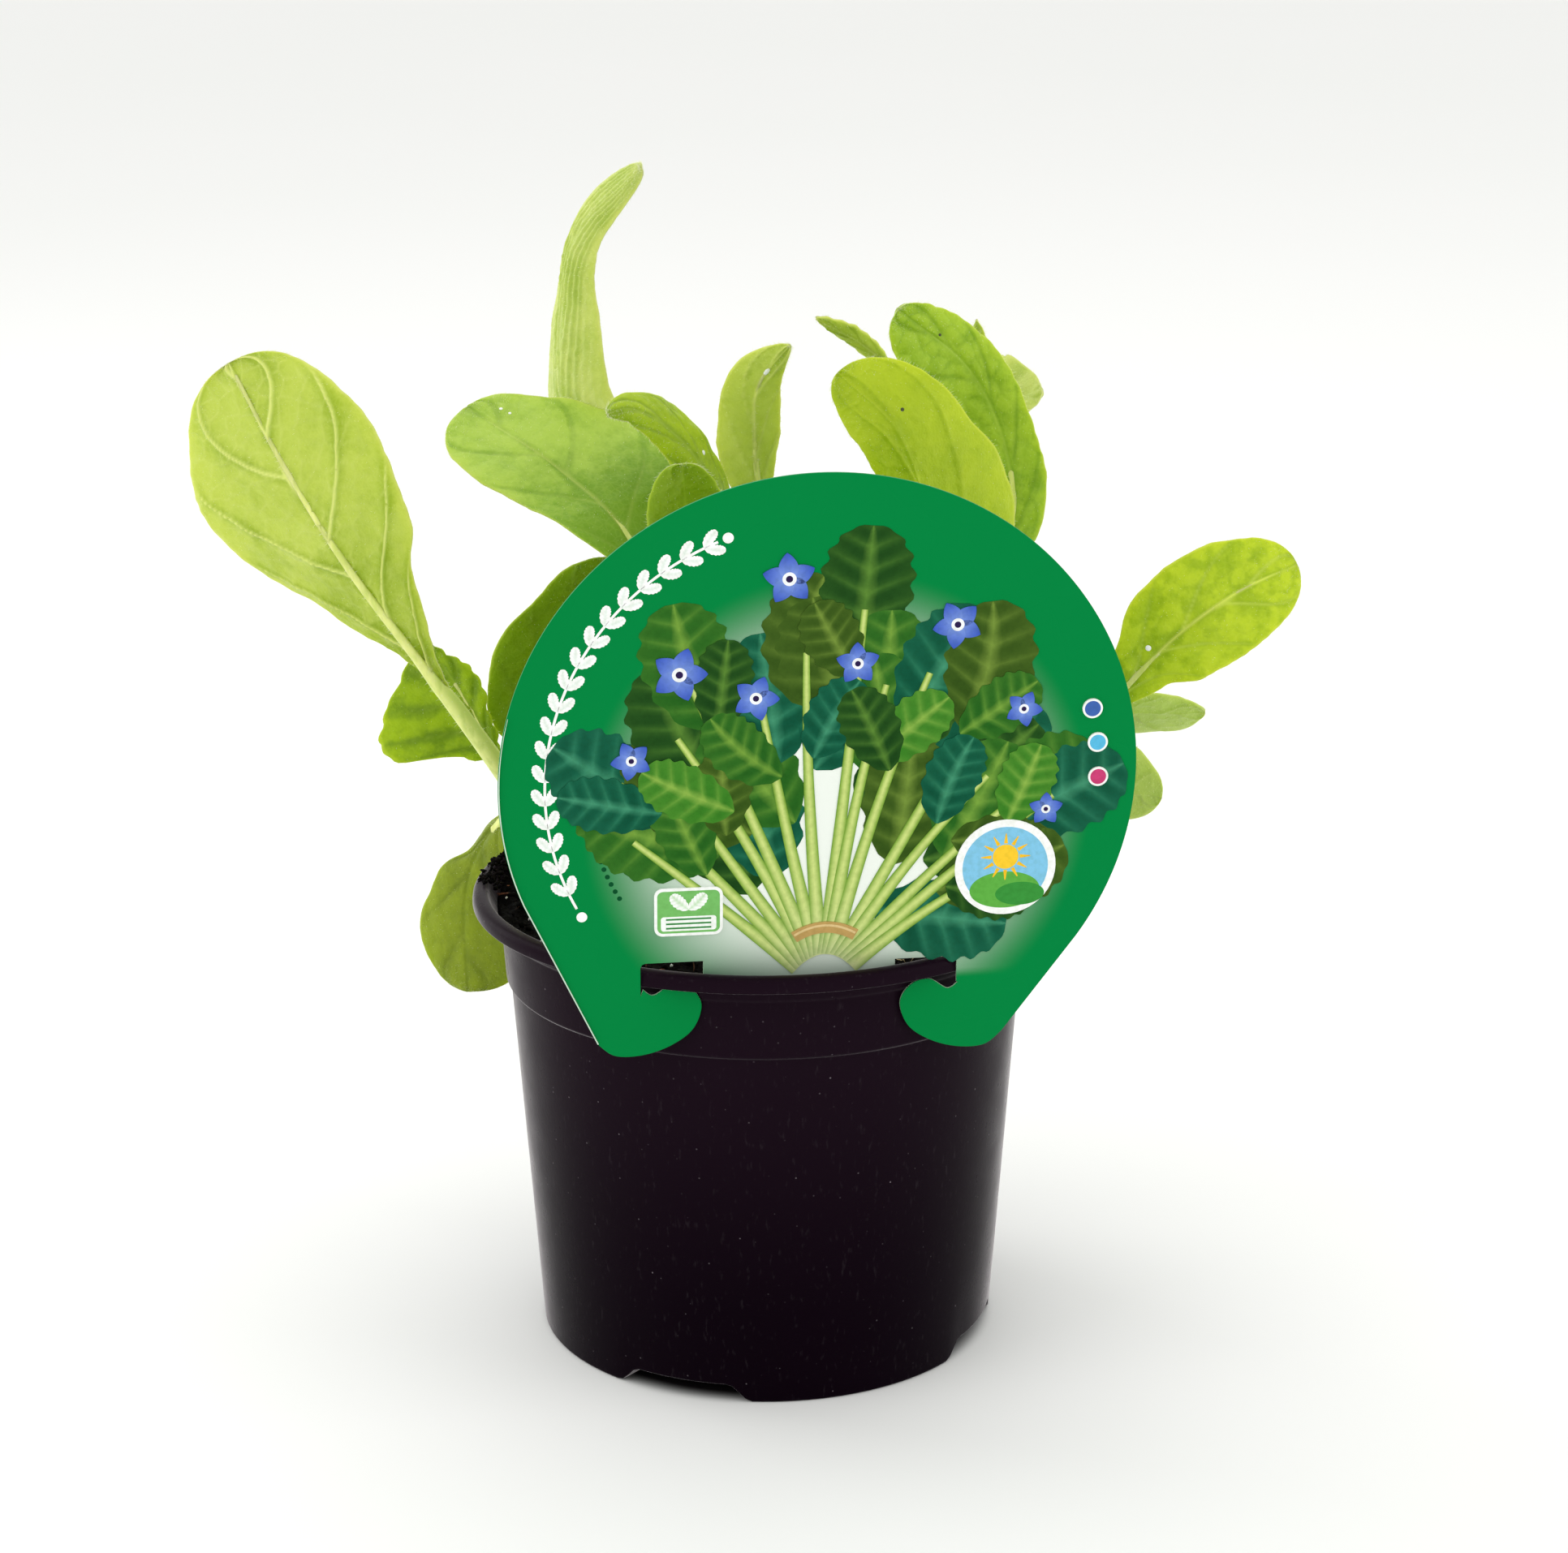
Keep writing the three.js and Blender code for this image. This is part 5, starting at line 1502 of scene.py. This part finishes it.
def card():
    """The card: its outline as a face and a back, with small chamfers and the cut edge."""
    outline = card_outline()
    inner = inset(outline, CARD_CHAMFER[0])
    half = LABEL["thickness"] / 2
    edge = half - CARD_CHAMFER[1]
    loops = [(inner, half), (outline, edge), (outline, -edge), (inner, -half)]
    points = np.concatenate([on_label(o[:, 0], o[:, 1], h) for o, h in loops])
    n = len(outline)
    k = np.arange(n)
    after = (k + 1) % n
    walls = [np.stack([a + k, a + n + k, a + n + after, a + after], axis=1)
             for a in (0, n, 2 * n)]
    faces = [k[None, :], (3 * n + k)[::-1][None, :], *walls]
    piece = make_mesh("label_card", points, faces, smooth=False)
    dress(piece, "label", "label", card_print(), card_edge())
    which = np.array([0, 0] + [0] * n + [1] * (2 * n), np.int32)
    piece.data.polygons.foreach_set("material_index", which)


card()


# Print on the label: flat ribbons in layers, each a strip along a line with a colour at every
# corner. Places are millimetres from the disc's centre, arcs degrees, and inks sRGB bytes.

PRINT_STEP = 0.003  # height of one layer over the next
PRINT_ROOT = 0.02  # depth of a ribbon's underside in the card
VINE_RADIUS = 45.6
VINE_ARC = (112, 207)
DOTTED_RADIUS = 38.6
DOTTED_ARC = (168, 212)
POSY_FOOT = (1.0, -26.0)
LEAF_INKS = [
    ((34, 78, 24), (98, 142, 54)), ((50, 108, 32), (130, 170, 66)),
    ((16, 92, 66), (72, 152, 116)), ((62, 92, 26), (124, 152, 62)),
    ((70, 134, 40), (150, 186, 80)),
]
STALK_INK = (206, 222, 132)
STALK_SIDE_INK = (108, 152, 46)
STALK_FOOT_INK = (238, 240, 204)
BAND_INKS = ((196, 160, 96), (228, 200, 142))
PETAL_INK = (58, 88, 190)
PETAL_PALE_INK = (136, 164, 232)
EYE_INK = (246, 248, 252)
CONE_INK = (44, 30, 78)
# Flowers of the posy: angle in degrees and distance from its foot
FLOWERS = ((118, 52), (96, 62), (68, 57), (106, 43), (84, 47), (136, 45), (49, 50), (28, 42))
WHITE_INK = (255, 255, 255)
VINE_VEIN_INK = (226, 240, 230)
DOT_INK = (0, 78, 40)
RIM_INK = (208, 228, 212)
RIM_STRETCH = slice(126, 151)  # points of the card's outline along its bare rim
UNEVEN_INK = (196, 206, 180)
SUN_PLACE = (31.5, -16.5)
SUN_INKS = {"ray": (250, 196, 40), "disc": (252, 206, 52)}
# Discs under the sun: place from the badge's middle, radius, height over width, and ink
SUN_DISCS = [
    ((0, 0), 8.6, 1.0, (252, 253, 252)), ((0, 0), 7.3, 1.0, (132, 200, 234)),
    ((0, -4.1), 6.0, 0.55, (96, 176, 70)), ((2.6, -4.9), 4.2, 0.5, (58, 148, 60)),
]
PLATE_PLACE = (-22.0, -22.0)
# Plates: rise over the middle, width, height, corner radius and ink
PLATES = [
    (0, 11.5, 8.6, 1.4, (250, 252, 250)), (0, 10.5, 7.6, 1.0, (120, 190, 104)),
    (-2.1, 9.3, 2.6, 0.5, (248, 252, 248)),
]
PLATE_LINE_INK = (60, 140, 70)
PLATE_LEAF_INKS = ((250, 254, 250), (190, 226, 180))
TRIO_RIM_INK = (250, 252, 250)
TRIO_RADIUS = 46.8
TRIO_INKS = ((66, 102, 178), (92, 190, 232), (206, 66, 120))


class Sheet:
    """The ribbons printed on the label, gathered into one mesh."""

    def __init__(self):
        self.points = []
        self.colours = []
        self.faces = []
        self.count = 0
        self.layer = 0

    def ribbon(self, line, half, colours, columns=3, layer=None, lean=0.0):
        """A strip: a point of it lies off its line by half times u, from -1 to 1, and ahead by
        lean times the size of u. colours are sRGB, one triple or one for each point of its grid.
        It lies on the next layer up."""
        if layer is None:
            self.layer += 1
            layer = self.layer
        line = np.asarray(line, float)
        rows = len(line)
        slope = unit(np.gradient(line, axis=0))
        u = np.linspace(-1, 1, columns)
        off = np.asarray(half, float).reshape(-1, 1) * u * np.ones((rows, 1))
        ahead = np.asarray(lean, float).reshape(-1, 1) * np.abs(u) * np.ones((rows, 1))
        x = line[:, :1] + slope[:, 1:] * off + slope[:, :1] * ahead
        y = line[:, 1:] - slope[:, :1] * off + slope[:, 1:] * ahead
        face = LABEL["thickness"] / 2
        tops = on_label(x, y, face + layer * PRINT_STEP)
        feet = on_label(x, y, face - PRINT_ROOT)
        self.points += [tops.reshape(-1, 3), feet.reshape(-1, 3)]
        colours = np.broadcast_to(np.asarray(colours, float), (rows, columns, 3)).reshape(-1, 3)
        self.colours += [colours, colours]
        self.faces += slab_faces(rows, columns, self.count)
        self.count += 2 * rows * columns

    def disc(self, centre, radius, colour, layer=None, tall=1.0):
        """A disc, or an ellipse with tall other than 1."""
        turn = np.linspace(0, math.pi, 25)
        line = np.stack([centre[0] - radius * np.cos(turn), np.full(25, centre[1])], axis=1)
        self.ribbon(line, tall * radius * np.sin(turn) + 1e-3, colour, layer=layer)

    def plate(self, centre, width, height, corner, colour):
        """A rectangle with rounded corners."""
        turn = np.linspace(0, math.pi / 2, 9)
        x = np.concatenate([corner * (1 - np.cos(turn)), [width / 2]])
        half = height / 2 - corner + corner * np.sin(np.append(turn, math.pi / 2))
        x = np.concatenate([x, width - x[-2::-1]]) + centre[0] - width / 2
        half = np.concatenate([half, half[-2::-1]])
        self.ribbon(np.stack([x, np.full(len(x), centre[1])], axis=1), half, colour)

    def leaf(self, foot, angle, length, width, inks, bend=0.0, columns=9, layer=None):
        """A leaf with a crinkled edge, a pale midrib and pale side veins. inks are its blade and
        its veins."""
        rows = 37
        share = np.linspace(0, 1, rows)
        heading = angle + bend * share
        steps = length / (rows - 1) * np.stack([np.cos(heading), np.sin(heading)], axis=1)
        line = np.asarray(foot, float) + np.cumsum(steps, axis=0) - steps[0]
        half = width / 2 * (share / 0.42 + 1e-3) ** 0.5 * ((1 - share) / 0.58 + 1e-3) ** 0.69
        half = half * (1 + 0.07 * np.sin(2 * math.pi * 6.5 * share + 9 * bend)) + 0.02
        u = np.abs(np.linspace(-1, 1, columns))[None, :]
        row = share[:, None]
        vein = np.exp(-((6 * row - np.round(6 * row)) / 0.17) ** 2) * (0.5 - 0.3 * u)
        rib = np.exp(-(u / 0.16) ** 2) * np.ones((rows, 1))
        shade = -0.22 * (0.5 - 0.5 * np.cos(12 * math.pi * row)) * (1 - u) - 0.1 * (row < 0.3)
        tone = np.clip(np.maximum(rib * 0.9, vein) + shade, -0.3, 1)[..., None]
        colours = np.clip(mix(np.array(inks[0], float), np.array(inks[1], float), tone), 0, 255)
        lean = 0.16 * length * np.sin(math.pi * share) ** 0.7
        self.ribbon(line, half, colours, columns, layer, lean)

    def stalk(self, foot, tip, lean, widths):
        """A leaf stalk: a bent strip, pale along its middle and green at its sides."""
        share = np.linspace(0, 1, 22)[:, None]
        foot = np.asarray(foot, float)
        tip = np.asarray(tip, float)
        middle = (foot + tip) / 2 + np.array([lean, 2.0])
        line = foot * (1 - share) ** 2 + 2 * middle * share * (1 - share) + tip * share**2
        half = mix(widths[0], widths[1], share[:, 0]) / 2
        u = np.abs(np.linspace(-1, 1, 7))[None, :, None] ** 1.6
        foot_tone = np.exp(-share[:, :, None] * 9) * 0.5
        colours = mix(np.array(STALK_INK, float), np.array(STALK_SIDE_INK, float), u)
        self.ribbon(line, half, mix(colours, np.array(STALK_FOOT_INK, float), foot_tone), 7)

    def star(self, centre, radius, turn):
        """A borage flower: five pointed petals, a white eye and a dark cone."""
        for k in range(5):
            angle = turn + 2 * math.pi * k / 5
            share = np.linspace(0, 1, 14)
            line = np.asarray(centre, float) + radius * share[:, None] * (
                math.cos(angle), math.sin(angle))
            half = 0.36 * radius * np.sin(math.pi * share**0.8) ** 0.8 + 0.02
            colours = mix(np.array(PETAL_PALE_INK, float), np.array(PETAL_INK, float),
                          share[:, None, None] * np.ones((1, 3, 1)))
            self.ribbon(line, half, colours, layer=self.layer + 1 + k % 2)
        self.layer += 3
        self.disc(centre, 0.26 * radius, EYE_INK)
        self.disc(centre, 0.13 * radius, CONE_INK)

    def finish(self):
        """The mesh piece of all ribbons."""
        piece = make_mesh("label_print", np.concatenate(self.points), self.faces, smooth=False)
        give_colour(piece, "ink", linear(np.concatenate(self.colours)))
        return piece


def posy(sheet, rng):
    """An upright posy: leaves at the back, a fan of stalks tied together, leaves in front of
    them, and flowers."""
    foot = np.array(POSY_FOOT)
    heads = []
    for k, turn in enumerate(np.linspace(154, 17, 15)):
        reach = 57 + 7 * math.sin(k * 2.1) - 0.24 * abs(turn - 84)
        angle = math.radians(turn + rng.normal(0, 2))
        heads.append((angle, foot + polar(reach, angle)))
    for k, (angle, head) in enumerate(heads):
        for step, far in ((0, 26), (1, 15)):
            back = head - polar(far, angle)
            heading = angle + rng.normal(0, 0.12) + 0.5 * (1 - step) * (1 if k % 2 else -1)
            sheet.leaf(back, heading, 23, 15, LEAF_INKS[(k + step) % 4], rng.normal(0, 0.25))
    for k, (_, head) in enumerate(heads):
        tip = foot + (head - foot) * 0.9
        start = foot + np.array([(k - 7) * 0.66, -5 - 0.05 * (k - 7) ** 2])
        sheet.stalk(start, tip, rng.normal(0, 1.2), (2.5, 1.1))
    for k, (angle, head) in enumerate(heads):
        share = (0.56, 0.72, 0.62)[k % 3]
        start = foot + (head - foot) * share
        turned_out = angle + (0.62 if k % 2 else -0.62) + rng.normal(0, 0.1)
        sheet.leaf(start, turned_out, 14.5 + 3 * rng.uniform(), 9.5, LEAF_INKS[(k + 1) % 5],
                   rng.normal(0, 0.3))
    for k, (turn, reach) in enumerate(FLOWERS):
        sheet.star(foot + polar(reach, math.radians(turn)), 4.7 - 0.25 * k, 0.4 * k)
    x = np.linspace(-5.2, 5.2, 15)
    band = foot + np.stack([x, -0.06 * x**2], axis=1)
    sheet.ribbon(band, np.full(15, 1.0), BAND_INKS[0])
    sheet.ribbon(band + (0, 0.35), np.full(15, 0.2), BAND_INKS[1])


def vine(sheet):
    """A white vine along the left edge, a thin stem with leaves to both sides and a dot at each
    end, and a dotted arc inside it."""
    layer = 2
    sheet.ribbon(arc(VINE_RADIUS, *VINE_ARC, 60), np.full(60, 0.22), WHITE_INK, layer=layer)
    for turn in np.arange(VINE_ARC[0] + 3, VINE_ARC[1] - 2, 5.2):
        angle = math.radians(turn)
        foot = polar(VINE_RADIUS, angle)
        for side in (-1, 1):
            heading = angle - math.pi / 2 + side * 0.75
            sheet.leaf(foot, heading, 3.5, 1.7, (WHITE_INK, VINE_VEIN_INK), side * -0.4,
                       columns=5, layer=layer + 1)
    for turn in (VINE_ARC[0] - 2.2, VINE_ARC[1] + 2.2):
        sheet.disc(polar(VINE_RADIUS, math.radians(turn)), 0.9, WHITE_INK, layer)
    for turn in np.arange(*DOTTED_ARC, 2.2):
        sheet.disc(polar(DOTTED_RADIUS, math.radians(turn)), 0.42, DOT_INK, layer)


def badges(sheet):
    """A round badge with the sun over two hills, a small plate with two leaves over three
    lines, and three coloured discs."""
    sun = np.array(SUN_PLACE)
    for off, radius, tall, colour in SUN_DISCS:
        sheet.disc(sun + off, radius, colour, tall=tall)
    sheet.layer += 1
    for k in range(12):
        angle = 2 * math.pi * k / 12
        line = sun + (0, 1.9) + polar(1, angle) * np.linspace(2.4, 4.2, 5)[:, None]
        sheet.ribbon(line, np.linspace(0.34, 0.08, 5), SUN_INKS["ray"], layer=sheet.layer)
    sheet.disc(sun + (0, 1.9), 2.2, SUN_INKS["disc"])
    plate = np.array(PLATE_PLACE)
    for rise, *form in PLATES:
        sheet.plate(plate + (0, rise), *form)
    sheet.layer += 1
    for rise in (-2.9, -2.1, -1.3):
        line = np.stack([np.linspace(-3.8, 3.8, 5), np.full(5, rise)], axis=1) + plate
        sheet.ribbon(line, np.full(5, 0.16), PLATE_LINE_INK, layer=sheet.layer)
    for side in (-1, 1):
        sheet.leaf(plate + (0, 0.4), math.pi / 2 - side * 0.95, 4.0, 2.2, PLATE_LEAF_INKS,
                   0.3 * side, columns=5)
    for k, colour in enumerate(TRIO_INKS):
        place = polar(TRIO_RADIUS, math.radians(14 - 7.5 * k))
        sheet.disc(place, 1.7, TRIO_RIM_INK)
        sheet.disc(place, 1.35, colour)


def bare_edge(sheet):
    """The card's own pale rim where the ink stops short of the cut: from the left of the disc,
    where it starts thin, down the left flank."""
    line = inset(card_outline(), 0.17)[RIM_STRETCH]
    half = 0.08 * smooth_step(-2, 12, np.arange(len(line))) + 0.01
    sheet.ribbon(line, half, RIM_INK)


def ink():
    """Printing ink: each ribbon's own colour, faintly uneven, under the card's thin gloss."""
    shader = Shader("label ink")
    uneven = shader.ramp(shader.noise(0.9, 3.0), 0.35, 0.75, 0.0, 0.3)
    made = shader.node("ShaderNodeMix", data_type="RGBA", blend_type="MULTIPLY")
    shader.feed(made.inputs["Factor"], uneven)
    shader.feed(made.inputs[6], shader.attribute("ink", "Color"))
    made.inputs[7].default_value = (*linear(UNEVEN_INK), 1.0)
    shader.set(
        Base_Color=made.outputs[2],
        Roughness=shader.ramp(shader.noise(14.0, 2.0), 0.3, 0.7, 0.24, 0.3),
        Specular_IOR_Level=0.06,
    )
    return shader.material


def label_print():
    """Everything printed on the card."""
    rng = np.random.default_rng(5)
    sheet = Sheet()
    vine(sheet)
    sheet.layer = 6
    posy(sheet, rng)
    badges(sheet)
    bare_edge(sheet)
    dress(sheet.finish(), "label", "label", ink())


label_print()


# Studio

def area_light(name, place, target, size, power):
    """A rectangular softbox that faces a target, all in metres."""
    data = bpy.data.lights.new(name, "AREA")
    data.shape = "RECTANGLE"
    data.size, data.size_y = size
    data.energy = power
    light = bpy.data.objects.new(name, data)
    light.location = place
    light.rotation_euler = (Vector(target) - Vector(place)).to_track_quat("-Z", "Y").to_euler()
    bpy.context.scene.collection.objects.link(light)


def floor():
    """A wide pale floor, with a shadow painted dark right under the pot's foot."""
    n = FLOOR_SIDES
    points = np.concatenate([around(FLOOR_RADIUS / MM, turns(n), 0), [[0, 0, 0]]])
    k = np.arange(n)
    piece = make_mesh("floor", points, [np.stack([k, (k + 1) % n, np.full(n, n)], axis=1)])
    shader = Shader("floor")
    distance = shader.node("ShaderNodeVectorMath", operation="LENGTH")
    shader.feed(distance.inputs[0], shader.place())
    inner, outer = FLOOR_SHADOW_REACH
    # near is the shadow painted on the floor under the pot's foot, full inside the inner radius
    near = shader.ramp(distance.outputs["Value"], inner * MM, outer * MM, 1.0, 0.0)
    plain = shader.blend(shader.noise(400.0, 1.0), FLOOR_TINTS["plain"], FLOOR_TINTS["patch"])
    shader.set(
        Base_Color=shader.blend(near, plain, FLOOR_TINTS["under"]),
        Roughness=0.7,
        Specular_IOR_Level=0.2,
    )
    piece.data.materials.append(shader.material)


def camera():
    """The camera, aimed at its target from its distance and elevation."""
    data = bpy.data.cameras.new("camera")
    data.sensor_width = SENSOR_WIDTH
    data.lens = FOCAL_LENGTH
    data.clip_start = CLIP_START
    made = bpy.data.objects.new("camera", data)
    rise = math.radians(CAMERA_ELEVATION)
    back = Vector((0, -math.cos(rise), math.sin(rise)))
    made.location = (Vector(CAMERA_TARGET) + back * CAMERA_DISTANCE) * MM
    aim = (-back).to_track_quat("-Z", "Y").to_matrix()
    made.rotation_euler = (aim @ Matrix.Rotation(math.radians(CAMERA_ROLL), 3, "Z")).to_euler()
    bpy.context.scene.collection.objects.link(made)
    bpy.context.scene.camera = made


def studio():
    """Floor, camera, an even pale sky and four softboxes."""
    floor()
    camera()
    world = bpy.data.worlds.new("studio")
    bpy.context.scene.world = world
    world.use_nodes = True
    background = world.node_tree.nodes["Background"]
    background.inputs["Color"].default_value = SKY_COLOUR
    background.inputs["Strength"].default_value = SKY_STRENGTH
    for name, softbox in SOFTBOXES.items():
        area_light(name, *softbox)
    bpy.context.scene.view_settings.view_transform = "Standard"


studio()
